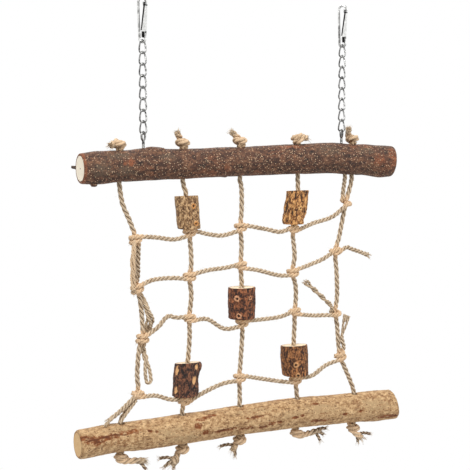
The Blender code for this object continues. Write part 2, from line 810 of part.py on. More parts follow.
def make_gate(side, hook_radius, nose_end, pivot, frame):
    """A bent strip that closes the hook, forked over the lug at its foot."""
    tip_face = hook_radius - CLIP_WIRE / 2 - TOUCH_GAP
    gate_face = hook_radius + GATE_STAND_OUT
    tip = nose_end + GATE_LAP
    step = nose_end - TOUCH_GAP
    shoulder = nose_end - GATE_LAP
    outline = [
        (tip_face, tip),
        (tip_face - GATE_THICKNESS, tip),
        (tip_face - GATE_THICKNESS, step - TOUCH_GAP),
        (gate_face - GATE_THICKNESS, shoulder - GATE_THICKNESS),
    ]
    outline += arc((pivot.x, pivot.y), LUG_DIAMETER / 2, 180, 360, 10)
    outline += [(gate_face, shoulder - GATE_THICKNESS), (gate_face, shoulder), (tip_face, step)]
    outline = [(across - pivot.x, up - pivot.y) for across, up in outline]
    gate = outline_plate(f"{side}_clip_gate", outline, GATE_WIDTH, frame)
    slot = rod(
        f"{side}_gate_slot",
        GATE_SLOT_HEIGHT / math.sqrt(2),
        CLIP_WIRE + 2 * TOUCH_GAP,
        frame @ Matrix.Rotation(EIGHTH_TURN, 4, "Z"),
        sides=4,
    )
    combine(gate, slot, "DIFFERENCE")
    combine(gate, rivet_drill(f"{side}_gate_drill", frame), "DIFFERENCE")


def make_rivet(name, frame):
    """A pin with a head at each end, turned from its outline."""
    pin = RIVET_DIAMETER / 2
    head = RIVET_HEAD_DIAMETER / 2
    inner = GATE_WIDTH / 2 + RIVET_CLEARANCE
    outer = inner + RIVET_HEAD_THICKNESS
    bevel = RIVET_HEAD_THICKNESS / 2
    upper = [(0, outer), (head - bevel, outer), (head, outer - bevel), (head, inner), (pin, inner)]
    profile = upper + [(x, -z) for x, z in reversed(upper)]
    mesh = bpy.data.meshes.new(name)
    mesh.from_pydata([(x, 0, z) for x, z in profile], [(i, i + 1) for i in range(len(profile) - 1)], [])
    mesh.materials.append(NICKEL)
    made = bpy.data.objects.new(name, mesh)
    made.matrix_world = frame
    parts.objects.link(made)
    screw = made.modifiers.new("turned", "SCREW")
    screw.steps = 12
    screw.render_steps = 12
    screw.use_merge_vertices = True
    screw.merge_threshold = 0.00001


make_logs()
make_hanging_ropes()
make_cross_ropes()
make_beads()
make_chains()
make_screw_eyes()
make_clips()
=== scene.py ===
"""Looks of a bird climbing wall: two barked logs and a rope net, hung on two chains with snap clips."""

import math
import random

import bmesh
import bpy
import numpy as np
from mathutils import Matrix, Vector, noise


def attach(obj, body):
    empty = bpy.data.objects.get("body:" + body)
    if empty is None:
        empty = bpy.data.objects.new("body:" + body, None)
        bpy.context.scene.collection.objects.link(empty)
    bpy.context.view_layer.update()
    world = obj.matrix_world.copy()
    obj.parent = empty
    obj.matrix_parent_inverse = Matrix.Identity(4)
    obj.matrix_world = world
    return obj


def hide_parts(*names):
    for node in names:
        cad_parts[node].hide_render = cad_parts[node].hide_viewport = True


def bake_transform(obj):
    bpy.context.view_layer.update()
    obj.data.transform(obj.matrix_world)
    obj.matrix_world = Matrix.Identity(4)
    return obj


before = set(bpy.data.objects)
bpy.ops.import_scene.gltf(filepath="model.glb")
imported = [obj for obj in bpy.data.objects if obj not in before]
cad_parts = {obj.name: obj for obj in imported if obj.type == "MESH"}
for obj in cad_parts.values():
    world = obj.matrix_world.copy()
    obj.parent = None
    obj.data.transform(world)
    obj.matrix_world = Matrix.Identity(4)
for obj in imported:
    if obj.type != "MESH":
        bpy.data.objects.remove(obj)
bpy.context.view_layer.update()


# Top log
# A length of young branch with its thin speckled bark left on, sawn off at both ends.
# Five rope holes are drilled down through it, and its upper side takes the two screw eyes.
MM = 0.001
TOP_LOG_LENGTH = 0.2665
TOP_LOG_DIAMETER = 0.0236
TOP_LOG_X = -0.0018
TOP_LOG_Z = -0.1225
TOP_LOG_STATIONS = (
    (0.00, 0.01, 0.95), (0.05, 0.03, 1.03), (0.12, 0.06, 0.97), (0.20, 0.09, 1.03),
    (0.27, 0.08, 0.96), (0.47, 0.11, 0.95), (0.60, 0.14, 0.98), (0.77, 0.16, 1.03),
    (0.88, 0.08, 1.05), (0.96, 0.00, 1.10), (1.00, -0.01, 1.05),
)
TOP_HOLES_X = (-0.1050, -0.0545, -0.0070, 0.0435, 0.0930)
EYE_HOLES_X = {"left": -0.0860, "right": 0.0830}
LOG_RINGS = 420
LOG_SIDES = 144
FACE_RINGS = 14
END_RINGS = 7
HEART_SHARE = 0.02
SAW_HOLLOW = 0.25 * MM
BARK_CREASE = math.radians(48)
LEFT_ROUNDING = 0.7
RIGHT_ROUNDING = 0.8
ROPE_HOLE_RADIUS = 2.9
EYE_HOLE_RADIUS = 1.4
HOLE_EDGE = 0.5
HOLE_SOFT = 0.6
HOLE_DEPTH = 1.6
PATCH_REACH = 0.55
PATCH_SOFT = 0.6
PATCH_RAGGED = ((0.45, 2.2), (0.25, 0.9))
CUT_RUST = 1.5
CUT_RAGGED = 0.6
TOP_LOG_SIZES = (TOP_LOG_X, TOP_LOG_LENGTH, TOP_LOG_DIAMETER, TOP_LOG_Z, TOP_LOG_STATIONS)


def screen_colour(red, green, blue):
    """Linear colour with full opacity from screen levels of 0 to 255."""
    levels = np.array((red, green, blue)) / 255
    linear = np.where(levels <= 0.04045, levels / 12.92, ((levels + 0.055) / 1.055) ** 2.4)
    return (*linear.tolist(), 1.0)


class Nodes:
    """A tree of nodes, with a short way to add to it."""

    def __init__(self, tree):
        self.tree = tree

    def add(self, kind, sockets, **settings):
        """A node of that kind. A socket takes a plain value or another node's output."""
        node = self.tree.nodes.new("ShaderNode" + kind)
        for setting, value in settings.items():
            setattr(node, setting, value)
        for socket, value in sockets.items():
            if isinstance(value, bpy.types.NodeSocket):
                self.tree.links.new(value, node.inputs[socket])
            else:
                node.inputs[socket].default_value = value
        return node


class Finish(Nodes):
    """A node material, with short ways to add its colours, grain and relief."""

    def __init__(self, name, roughness):
        self.material = bpy.data.materials.new(name)
        self.material.use_nodes = True
        super().__init__(self.material.node_tree)
        self.shader = self.tree.nodes["Principled BSDF"]
        self.shader.inputs["Roughness"].default_value = roughness

    def place(self, size_mm, stretch=(1, 1, 1), attribute=None):
        """Coordinates that grow by one for each size_mm, drawn out by stretch."""
        if attribute:
            source = self.add("Attribute", {}, attribute_name=attribute).outputs["Vector"]
            unit = 1 / size_mm
        else:
            source = self.add("TexCoord", {}).outputs["Object"]
            unit = 1 / (size_mm * MM)
        scale = [unit / s for s in stretch]
        return self.add("Mapping", {"Vector": source, "Scale": scale}).outputs["Vector"]

    def grain(self, place, detail=4, roughness=0.6):
        """Cloudy noise."""
        sockets = {"Vector": place, "Scale": 1, "Detail": detail, "Roughness": roughness}
        return self.add("TexNoise", sockets).outputs["Fac"]

    def specks(self, place, size, share):
        """Scattered round specks: 1 inside one, 0 outside. share is how many of the cells have one."""
        cells = self.add("TexVoronoi", {"Vector": place, "Scale": 1, "Randomness": 1})
        kept = self.add("SeparateColor", {"Color": cells.outputs["Color"]})
        inside = self.band(cells.outputs["Distance"], size, 0.5 * size)
        return self.times(inside, self.band(kept.outputs["Red"], share, share - 0.01))

    def band(self, value, low, high):
        """0 up to low, 1 from high, and eased between them. low may be the larger."""
        sockets = {"Value": value, "From Min": low, "From Max": high}
        return self.add("MapRange", sockets, interpolation_type="SMOOTHSTEP").outputs["Result"]

    def mask(self, attribute, channel):
        """One channel of a value stored on the piece's points."""
        stored = self.add("Attribute", {}, attribute_name=attribute).outputs["Vector"]
        return self.add("SeparateXYZ", {"Vector": stored}).outputs[channel]

    def times(self, first, second):
        """The product of two values."""
        return self.add("Math", {0: first, 1: second}, operation="MULTIPLY").outputs[0]

    def plus(self, base, value, factor):
        """A base, with a value times a factor added to it."""
        return self.add("Math", {0: value, 1: factor, 2: base}, operation="MULTIPLY_ADD").outputs[0]

    def ramp(self, value, *stops):
        """Colours that follow a value, each with the place where it is full."""
        node = self.add("ValToRGB", {"Fac": value})
        points = node.color_ramp.elements
        while len(points) < len(stops):
            points.new(0.5)
        for point, (at, colour) in zip(points, stops):
            point.position = at
            point.color = screen_colour(*colour)
        return node.outputs["Color"]

    def over(self, base, colour, *shares):
        """A colour laid over another where the product of the shares is 1."""
        share = shares[0]
        for other in shares[1:]:
            share = self.times(share, other)
        sockets = {"Factor": share, 6: base, 7: screen_colour(*colour)}
        return self.add("Mix", sockets, data_type="RGBA").outputs[2]

    def relief(self, value, height_mm, below=None):
        """A bump of that height, on top of an earlier one."""
        sockets = {"Height": value, "Distance": height_mm * MM, "Strength": 1}
        if below:
            sockets["Normal"] = below
        return self.add("Bump", sockets).outputs["Normal"]

    def done(self, colour, normal, roughness=None):
        """Join the colour, the relief and any change of roughness to the shader."""
        self.tree.links.new(colour, self.shader.inputs["Base Color"])
        self.tree.links.new(normal, self.shader.inputs["Normal"])
        if roughness:
            self.tree.links.new(roughness, self.shader.inputs["Roughness"])
        return self.material


def gentle(share):
    """A share from 0 to 1, made to start and end gently."""
    return share * share * (3 - 2 * share)


def eased(share, stations):
    """Rise and girth at each share of a branch's length, eased from station to station."""
    marks, rises, girths = np.array(stations).T
    at = np.clip(np.searchsorted(marks, share, side="right") - 1, 0, len(marks) - 2)
    part = gentle(np.clip((share - marks[at]) / (marks[at + 1] - marks[at]), 0, 1))
    rise = rises[at] + (rises[at + 1] - rises[at]) * part
    girth = girths[at] + (girths[at + 1] - girths[at]) * part
    return rise, girth


def set_values(mesh, name, values):
    """Store a vector on each point of a mesh for its material."""
    stored = mesh.attributes.new(name, "FLOAT_VECTOR", "POINT")
    stored.data.foreach_set("vector", np.asarray(values, np.float32).ravel())


def stand(name, data):
    """A new object in the scene."""
    made = bpy.data.objects.new(name, data)
    bpy.context.scene.collection.objects.link(made)
    return made


def meshed(name, points, faces, *finishes):
    """A smoothly shaded object from points and faces."""
    mesh = bpy.data.meshes.new(name)
    mesh.from_pydata(points, [], faces)
    for finish in finishes:
        mesh.materials.append(finish)
    mesh.shade_smooth()
    return stand(name, mesh)


def tube_faces(first, rows, sides, loop):
    """Faces that join rows of points into a tube, whose ends are closed unless it is a loop."""
    faces = []
    for row in range(rows if loop else rows - 1):
        start = first + row * sides
        onward = first + (row + 1) % rows * sides
        for side in range(sides):
            beside = (side + 1) % sides
            faces.append((start + side, start + beside, onward + beside, onward + side))
    if not loop:
        faces.append(tuple(range(first, first + sides))[::-1])
        faces.append(tuple(range(first + (rows - 1) * sides, first + rows * sides)))
    return faces


def around(side, other, angle):
    """The direction at an angle from one side towards another."""
    return side * math.cos(angle) + other * math.sin(angle)


def branch(name, foot, axis, up, along, rise, radius, bark, sides, finishes, bore=0.0):
    """A barked branch with two sawn faces, as rings of points round its heart.

    along, rise and radius have one value for each ring, from foot along axis. bark takes a place along, an
    angle and the plain point there in millimetres, and gives how far the bark stands out and three tints.
    """
    front = axis.cross(up)
    angles = np.linspace(0, 2 * math.pi, sides, endpoint=False)
    rings = len(along)
    skin = np.zeros((rings, sides))
    tints = np.zeros((rings, sides, 3))
    for ring in range(rings):
        heart = foot + axis * along[ring] + up * rise[ring]
        for side, angle in enumerate(angles):
            spot = (heart + around(up, front, angle) * radius[ring]) / MM
            height, tints[ring, side] = bark(along[ring], angle, spot)
            skin[ring, side] = radius[ring] + height * MM

    rows = []
    values = []
    places = []

    def add_row(ring, share, inset):
        """One ring of points, at a share of the way from the heart or the bore to the bark."""
        reach = bore + (skin[ring] - bore) * share
        heart = np.array(foot + axis * (along[ring] + inset) + up * rise[ring])
        ups = np.outer(reach * np.cos(angles), up)
        fronts = np.outer(reach * np.sin(angles), front)
        rows.append(heart + ups + fronts)
        values.append(tints[ring])
        places.append(np.column_stack((reach / MM, np.full(sides, share), np.degrees(angles))))

    def hollow(share, inwards):
        """How far the saw has left a face hollow there."""
        return inwards * SAW_HOLLOW * (1 - share**6)

    shares = np.linspace(0 if bore else HEART_SHARE, 1, FACE_RINGS, endpoint=False)
    for share in shares:
        add_row(0, share, hollow(share, 1))
    for ring in range(rings):
        add_row(ring, 1, 0)
    for share in shares[::-1]:
        add_row(rings - 1, share, hollow(share, -1))

    faces = tube_faces(0, len(rows), sides, bool(bore))
    barked = range(FACE_RINGS, FACE_RINGS + rings - 1)
    kinds = [int(face // sides not in barked) for face in range(len(faces))]
    made = meshed(name, np.concatenate(rows).tolist(), faces, *finishes)
    made.data.polygons.foreach_set("material_index", kinds)
    set_values(made.data, "tint", np.concatenate(values))
    set_values(made.data, "heartwood", np.concatenate(places))
    made.data.set_sharp_from_angle(angle=BARK_CREASE)
    return made


def clamped(value):
    """A value held between 0 and 1."""
    return min(max(value, 0), 1)


def near(distance, reach, soft):
    """1 within reach of a mark, 0 beyond reach and its soft edge."""
    return gentle(clamped((reach + soft - distance) / soft))


def turned(angle, turn):
    """How far round an angle lies from a turn in degrees, by the shorter way."""
    return (angle - math.radians(turn) + math.pi) % (2 * math.pi) - math.pi


def rough(spot, *layers):
    """The sum of layers of noise, each with its height and the size of its lumps."""
    return sum(height * noise.noise(spot / size) for height, size in layers)


def patch(along, angle, ragged, at, turn, length, width):
    """How strongly a patch of bark with a ragged edge colours a place. Its sizes are in millimetres."""
    dx = (along - at) / MM / length
    dy = turned(angle, turn) * TOP_LOG_DIAMETER / 2 / MM / width
    return near(math.hypot(dx, dy) + ragged, PATCH_REACH, PATCH_SOFT)


def patches(along, angle, ragged, marks):
    """How strongly the strongest of several patches colours a place."""
    return max(patch(along, angle, ragged, *mark) for mark in marks)


def drilled(along, angle, radius, holes, hole_radius, upper, lower):
    """How deep a drilled hole has cut the bark at a place, from 0 to 1."""
    depth = 0
    for x in holes:
        across = radius * math.sin(angle)
        distance = math.hypot(along - x, across) / MM
        if distance < 2 * hole_radius and (math.cos(angle) > 0 and upper or math.cos(angle) < 0 and lower):
            depth = max(depth, near(distance, hole_radius - HOLE_EDGE, HOLE_SOFT))
    return depth


TOP_RUST = (
    (-0.0995, 74, 3.4, 3.6), (-0.1045, 78, 1.6, 1.6), (0.112, 84, 6.0, 4.5), (0.127, 70, 6.0, 9.0),
    (0.034, 30, 12.0, 2.2), (-0.060, 250, 12.0, 6.0), (0.050, 290, 16.0, 6.0),
)
TOP_ASH = (
    (-0.122, 95, 9.0, 7.0), (-0.104, 105, 8.0, 5.0), (-0.108, 45, 12.0, 4.0),
    (-0.070, 60, 8.0, 4.0), (0.066, 55, 12.0, 4.5), (0.100, 50, 8.0, 4.0), (-0.100, 220, 20.0, 8.0),
    (0.020, 230, 30.0, 7.0),
)
TWIG_SCARS = (
    (-0.077, 8, 7.0, 0.9), (-0.126, 164, 2.4, 1.9), (0.060, 255, 4.0, 1.0), (-0.020, 200, 3.5, 0.8),
)


def top_log_bark(along, angle, spot):
    """Relief and tints of the top log's bark: rust, ash and painted shade in the drilled holes."""
    swell = rough(spot, (0.32, 16), (0.14, 6))
    furrow = 0.15 * noise.noise(Vector((spot.x / 24, spot.y / 3.4, spot.z / 3.4)))
    grit = rough(spot, (0.09, 1.5), (0.05, 0.7))
    ragged = rough(spot, *PATCH_RAGGED)
    scar = sum(
        height * patch(along, angle, ragged, at, turn, size, size) for at, turn, size, height in TWIG_SCARS
    )
    from_cut = (along - TOP_LOG_X + TOP_LOG_LENGTH / 2) / MM
    cut_edge = near(from_cut, CUT_RUST + CUT_RAGGED * noise.noise(spot / 2), PATCH_SOFT)
    rust = max(patches(along, angle, ragged, TOP_RUST), cut_edge)
    ash = patches(along, angle, ragged, TOP_ASH)
    shaded_hole = drilled(along, angle, TOP_LOG_DIAMETER / 2, TOP_HOLES_X, ROPE_HOLE_RADIUS, True, True)
    pilot = drilled(along, angle, TOP_LOG_DIAMETER / 2, EYE_HOLES_X.values(), EYE_HOLE_RADIUS, True, False)
    # dark is painted shade in the rope holes and the eyes' pilot holes, and how far they sink the bark.
    dark = max(shaded_hole, pilot)
    return swell + furrow + grit + scar - HOLE_DEPTH * dark, (rust, ash, dark)


def worn_ends(along, length, left, right):
    """How much less the radius is near each end, where the edge of the cut has worn round."""
    from_left = np.clip(1 - (along + length / 2) / left, 0, 1)
    from_right = np.clip(1 - (length / 2 - along) / right, 0, 1)
    worn_left = left * LEFT_ROUNDING * (1 - np.sqrt(1 - from_left**2))
    worn_right = right * RIGHT_ROUNDING * (1 - np.sqrt(1 - from_right**2))
    return worn_left + worn_right


def ring_places(length, rings, edge):
    """Places of a branch's rings, closer together at its two worn ends."""
    ends = edge * (1 - np.cos(np.linspace(0, math.pi / 2, END_RINGS)))
    middle = np.linspace(edge, length - edge, rings)
    return np.concatenate((ends[:-1], middle, (length - ends[:-1])[::-1])) - length / 2


def log(name, middle, length, diameter, height, stations, bark, wear, finishes):
    """A whole log along X. middle is the X of its middle."""
    places = ring_places(length, LOG_RINGS, max(wear))
    rise, girth = eased(places / length + 0.5, stations)
    rise = rise * diameter
    radius = girth * diameter / 2 - worn_ends(places, length, *wear)
    foot = Vector((0, 0, height))
    axis = Vector((1, 0, 0))
    up = Vector((0, 0, 1))
    return branch(name, foot, axis, up, places + middle, rise, radius, bark, LOG_SIDES, finishes)


def slant_cut(piece, end, reach, by_depth, by_height, height):
    """Saw a log's right end out of square: shorter at the front, and shorter or longer towards its top."""
    for point in piece.data.vertices:
        share = clamped((point.co.x - end + reach) / reach)
        point.co.x -= share * share * (by_height * (point.co.z - height) - by_depth * point.co.y)


def speckled_bark(name, dark, main, light, rust, ash, fleck, speck, shaded_hole):
    """Smooth bark with pale breathing pores, rusty and ashen patches, and painted shade in the drilled
    holes.
    """
    bark = Finish(name, 0.8)
    cloud = bark.grain(bark.place(3.2, (1.5, 1, 1)), detail=10, roughness=0.78)
    broad = bark.grain(bark.place(24), detail=3)
    streak = bark.grain(bark.place(1.9, (5, 1, 1)), detail=6, roughness=0.68)
    fine = bark.grain(bark.place(0.5, (1.4, 1, 1)), detail=4, roughness=0.7)
    colour = bark.ramp(cloud, (0.38, dark), (0.50, main), (0.63, light))
    colour = bark.over(colour, rust, bark.band(broad, 0.50, 0.66), bark.band(cloud, 0.40, 0.68))
    colour = bark.over(colour, dark, bark.band(streak, 0.50, 0.66), bark.band(fine, 0.3, 0.6))
    colour = bark.over(colour, ash, bark.mask("tint", "Y"), bark.band(cloud, 0.66, 0.42))
    colour = bark.over(colour, rust, bark.mask("tint", "X"), bark.band(cloud, 0.30, 0.60))
    dots = bark.specks(bark.place(0.95, (1.3, 1, 1)), 0.42, 0.55)
    colour = bark.over(colour, light, dots, bark.band(cloud, 0.3, 0.6))
    pits = bark.specks(bark.place(1.3, (1.4, 1, 1)), 0.38, 0.5)
    colour = bark.over(colour, dark, pits)
    flecks = bark.specks(bark.place(2.7, (1.3, 1, 1)), 0.21, 0.6)
    colour = bark.over(colour, fleck, flecks, bark.band(fine, 0.2, 0.5))
    pores = bark.specks(bark.place(1.45, (1.2, 1, 1)), 0.28, 0.80)
    colour = bark.over(colour, speck, pores)
    # Painted shade in the drilled holes.
    colour = bark.over(colour, shaded_hole, bark.mask("tint", "Z"))
    normal = bark.relief(fine, 0.35)
    normal = bark.relief(cloud, 0.45, normal)
    normal = bark.relief(pores, 0.16, normal)
    return bark.done(colour, normal)


def sawn_wood(name, pale, ring, rim, bark_edge):
    """A sawn end: growth rings round the heart, a darker rim under the bark, and faint saw marks."""
    wood = Finish(name, 0.75)
    across = wood.mask("heartwood", "X")
    share = wood.mask("heartwood", "Y")
    wander = wood.grain(wood.place(4.0), detail=3)
    turns = wood.times(wood.plus(across, wander, 2.2), 5.2)
    wave = wood.add("Math", {0: turns}, operation="SINE").outputs[0]
    colour = wood.over(wood.ramp(wander, (0.3, pale), (0.8, ring)), ring, wood.band(wave, 0.1, 1.0))
    fibres = wood.grain(wood.place(0.5), detail=3)
    colour = wood.over(colour, pale, wood.band(fibres, 0.45, 0.75))
    rough_edge = wood.plus(share, wander, 0.06)
    colour = wood.over(colour, rim, wood.band(rough_edge, 0.93, 0.97))
    colour = wood.over(colour, bark_edge, wood.band(rough_edge, 0.985, 1.01))
    colour = wood.over(colour, rim, wood.band(across, 0.9, 0.3))
    return wood.done(colour, wood.relief(fibres, 0.10))


TOP_BARK = speckled_bark(
    "top_log_bark",
    dark=(34, 20, 13),
    main=(81, 51, 36),
    light=(133, 94, 68),
    rust=(138, 80, 50),
    ash=(88, 71, 56),
    fleck=(170, 136, 112),
    speck=(216, 184, 148),
    # Colour of the painted shade in the holes.
    shaded_hole=(36, 25, 20),
)
TOP_SAWN = sawn_wood(
    "top_log_sawn_end",
    pale=(255, 246, 228),
    ring=(252, 237, 212),
    rim=(58, 34, 22),
    bark_edge=(146, 90, 54),
)
TOP_WEAR = (0.0016, 0.0030)
CUT_REACH = 0.020
TOP_CUT = (0.24, -0.08)
top_log = log("top_log_skin", *TOP_LOG_SIZES, top_log_bark, TOP_WEAR, (TOP_BARK, TOP_SAWN))
slant_cut(top_log, TOP_LOG_X + TOP_LOG_LENGTH / 2, CUT_REACH, *TOP_CUT, TOP_LOG_Z)
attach(top_log, "hung_log")
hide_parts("top_log")

TWIG_FOOT = Vector((-0.1326, 0.0094, -0.1224))
TWIG_AXIS = Vector((-0.14, 1.0, 0.02)).normalized()
TWIG_LENGTH = 0.0112
TWIG_RADIUS = 0.0012
TWIG_FOOT_GIRTH = 1.25
TWIG_TAPER = 0.35
TWIG_RINGS = 16
TWIG_SIDES = 28
TWIG_ROUGHNESS = (0.18, 1.1)
TWIG_TINT = (0.0, 0.0, 0.6)


def twig_bark(along, angle, spot):
    """Relief and tints of the twig's bark, which is rough and dark all over."""
    return rough(spot, TWIG_ROUGHNESS), TWIG_TINT


twig_along = np.linspace(0, TWIG_LENGTH, TWIG_RINGS)
twig = branch(
    "top_log_twig_stub",
    TWIG_FOOT,
    TWIG_AXIS,
    Vector((0, 0, 1)).cross(TWIG_AXIS).normalized(),
    twig_along,
    np.zeros(TWIG_RINGS),
    TWIG_RADIUS * (TWIG_FOOT_GIRTH - TWIG_TAPER * twig_along / TWIG_LENGTH),
    twig_bark,
    TWIG_SIDES,
    (TOP_BARK, TOP_SAWN),
)
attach(twig, "hung_log")


# Bottom log
# A slightly longer branch of a paler kind, with flaky grey-brown bark that has torn into red-brown streaks.
# It is sawn off too and drilled for the net's five ropes, which are knotted under it.
BOTTOM_LOG_LENGTH = 0.2760
BOTTOM_LOG_DIAMETER = 0.0232
BOTTOM_LOG_X = -0.0020
BOTTOM_LOG_Z = -0.3245
BOTTOM_LOG_STATIONS = (
    (0.00, -0.07, 0.94), (0.10, 0.00, 0.94), (0.20, -0.02, 0.98), (0.32, 0.01, 0.99),
    (0.48, 0.06, 0.99), (0.65, 0.07, 1.04), (0.83, 0.00, 1.02), (0.94, -0.05, 1.08),
    (1.00, -0.07, 1.06),
)
BOTTOM_LOG_SIZES = (BOTTOM_LOG_X, BOTTOM_LOG_LENGTH, BOTTOM_LOG_DIAMETER, BOTTOM_LOG_Z, BOTTOM_LOG_STATIONS)
BOTTOM_HOLES_X = (-0.1060, -0.0560, -0.0070, 0.0440, 0.0970)
TEAR_DEPTH = 0.35
BOTTOM_TEARS = (
    (-0.1385, 52, 6.0, 2.2), (-0.1335, 61, 6.0, 3.0), (-0.1285, 71, 5.0, 4.0),
    (-0.1225, 68, 6.5, 3.0), (-0.1150, 65, 7.0, 2.6), (-0.1070, 61, 7.0, 2.2),
    (-0.0990, 55, 6.0, 1.8), (-0.0866, 62, 2.0, 1.4), (-0.0816, 68, 1.6, 1.2),
    (-0.0470, 68, 3.6, 2.6), (-0.0410, 99, 2.6, 2.2), (-0.0430, 46, 6.0, 1.7),
    (-0.0350, 36, 6.0, 1.6), (-0.0296, 103, 4.0, 1.6), (-0.0210, 103, 8.0, 1.7),
    (-0.0056, 110, 7.0, 1.4), (0.0024, 70, 8.0, 1.2), (0.0084, 112, 4.0, 1.4),
    (0.0154, 104, 4.0, 1.4), (0.0224, 102, 3.0, 1.2), (0.0364, 92, 5.0, 1.2),
    (0.0424, 88, 2.4, 1.2), (0.0584, 116, 9.0, 1.5), (0.0824, 97, 2.2, 1.3), (0.0564, 46, 3.0, 1.2),
    (0.0964, 90, 2.0, 1.0), (0.1244, 126, 12.0, 2.0), (-0.0800, 230, 16.0, 3.0),
    (0.0100, 260, 18.0, 3.0), (0.0900, 240, 14.0, 3.0),
)
BOTTOM_ASH = (
    (-0.070, 75, 14.0, 5.0), (-0.110, 40, 14.0, 3.0), (0.000, 46, 20.0, 3.0),
    (0.060, 70, 20.0, 5.0), (0.110, 70, 14.0, 6.0), (-0.060, 110, 14.0, 4.0),
    (0.030, 80, 14.0, 4.0), (-0.090, 250, 20.0, 8.0), (0.050, 230, 26.0, 8.0),
)


def bottom_log_bark(along, angle, spot):
    """Relief and tints of the bottom log's bark: torn streaks, ashen patches and painted shade in the
    holes.
    """
    swell = rough(spot, (0.30, 14), (0.16, 5))
    flake = 0.20 * noise.noise(Vector((spot.x / 9, spot.y / 3.0, spot.z / 3.0)))
    grit = rough(spot, (0.12, 1.6), (0.07, 0.7))
    ragged = rough(spot, *PATCH_RAGGED)
    tear = patches(along, angle, ragged, BOTTOM_TEARS)
    ash = patches(along, angle, ragged, BOTTOM_ASH)
    # How far the rope holes sink the bark, and how strongly they are painted with shade.
    shaded_hole = drilled(along, angle, BOTTOM_LOG_DIAMETER / 2, BOTTOM_HOLES_X, ROPE_HOLE_RADIUS, True, True)
    return swell + flake + grit - TEAR_DEPTH * tear - HOLE_DEPTH * shaded_hole, (tear, ash, shaded_hole)


def flaky_bark(name, dark, main, light, tear, deep_tear, ash, pit, shaded_hole):
    """Pale bark with soft flakes, torn streaks, pale patches, pits, and painted shade in the drilled holes.
    """
    bark = Finish(name, 0.85)
    cloud = bark.grain(bark.place(2.6, (1.4, 1, 1)), detail=10, roughness=0.78)
    broad = bark.grain(bark.place(20), detail=3)
    streak = bark.grain(bark.place(2.0, (3.5, 1, 1)), detail=7, roughness=0.7)
    fine = bark.grain(bark.place(0.55, (1.3, 1, 1)), detail=4, roughness=0.7)
    colour = bark.ramp(cloud, (0.34, dark), (0.47, main), (0.62, light))
    warm = bark.times(bark.band(broad, 0.48, 0.66), bark.band(cloud, 0.56, 0.36))
    colour = bark.over(colour, tear, warm, bark.band(streak, 0.42, 0.62))
    colour = bark.over(colour, dark, bark.band(streak, 0.54, 0.66), bark.band(fine, 0.3, 0.6))
    colour = bark.over(colour, ash, bark.mask("tint", "Y"), bark.band(streak, 0.62, 0.42))
    chips = bark.specks(bark.place(1.2, (1.5, 1, 1)), 0.40, 0.45)
    colour = bark.over(colour, light, chips, bark.band(cloud, 0.3, 0.55))
    pits = bark.specks(bark.place(1.7, (1.5, 1, 1)), 0.34, 0.32)
    colour = bark.over(colour, pit, pits)
    torn = bark.times(bark.band(bark.mask("tint", "X"), 0.12, 0.62), bark.band(cloud, 0.64, 0.46))
    colour = bark.over(colour, tear, torn)
    deepest = bark.band(bark.mask("tint", "X"), 0.36, 0.78)
    colour = bark.over(colour, deep_tear, deepest, bark.band(streak, 0.44, 0.58))
    # Painted shade in the drilled holes.
    colour = bark.over(colour, shaded_hole, bark.mask("tint", "Z"))
    normal = bark.relief(fine, 0.35)
    normal = bark.relief(cloud, 0.5, normal)
    return bark.done(colour, normal)


BOTTOM_BARK = flaky_bark(
    "bottom_log_bark",
    dark=(88, 56, 33),
    main=(168, 130, 88),
    light=(220, 186, 140),
    tear=(134, 74, 32),
    deep_tear=(94, 48, 18),
    ash=(178, 148, 108),
    pit=(104, 70, 44),
    # Colour of the painted shade in the holes.
    shaded_hole=(48, 33, 24),
)
BOTTOM_SAWN = sawn_wood(
    "bottom_log_sawn_end",
    pale=(230, 194, 144),
    ring=(212, 170, 114),
    rim=(196, 146, 90),
    bark_edge=(136, 96, 60),
)
BOTTOM_WEAR = (0.0020, 0.0030)
BOTTOM_CUT = (0.16, 0.20)
BOTTOM_FINISHES = (BOTTOM_BARK, BOTTOM_SAWN)
bottom_log = log("bottom_log_skin", *BOTTOM_LOG_SIZES, bottom_log_bark, BOTTOM_WEAR, BOTTOM_FINISHES)
slant_cut(bottom_log, BOTTOM_LOG_X + BOTTOM_LOG_LENGTH / 2, CUT_REACH, *BOTTOM_CUT, BOTTOM_LOG_Z)
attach(bottom_log, "foot_log")
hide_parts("bottom_log")


# Hanging ropes
# Five lengths of three-strand sisal rope, laid to the left, that run down through both logs.
# Each is stopped by a thumb knot above the top log and another below the bottom log, with a frayed tail.
ROPE_RADIUS = 0.0017
KNOT_TURNS = 1.5
KNOT_STEPS = 16
KNOT_REACH = 0.0033
KNOT_OPENING = 0.3
KNOT_WIDENING = 2.4
KNOT_FOOT = 0.0019
KNOT_HEAD = 0.0064
KNOT_LEAN = 0.30
KNOT_FULLNESS = 1.3
KNOT_WARMTH = 0.8
KNOT_GLOW = (8.0, 4.0)
HITCH_GLOW = (4.5, 3.0)
TOP_KNOT_Z = -0.1065
BOTTOM_KNOT_Z = -0.3415
HANGING_LAY = 0.0150
CROSS_LAY = 0.0108
LAY_WANDER = 0.6
LAY_WANDER_SIZE = 7 * MM
GIRTH_WANDER = 0.05
GIRTH_WANDER_SIZE = 6 * MM
GROOVE_FALL = 0.4
STRANDS = 3
STRAND_POINTS = 8
ROPE_FULLNESS = 1.15
ROPE_STEP = 0.0008
END_SPAN = 4
FIBRE_SIDES = 3
FIBRE_TAPER = 0.55
FRAY_ROOT_MM = 1.5
SWING_Z = -0.1343
FOLD_Z = -0.2105
SETTLE_Z = -0.3129
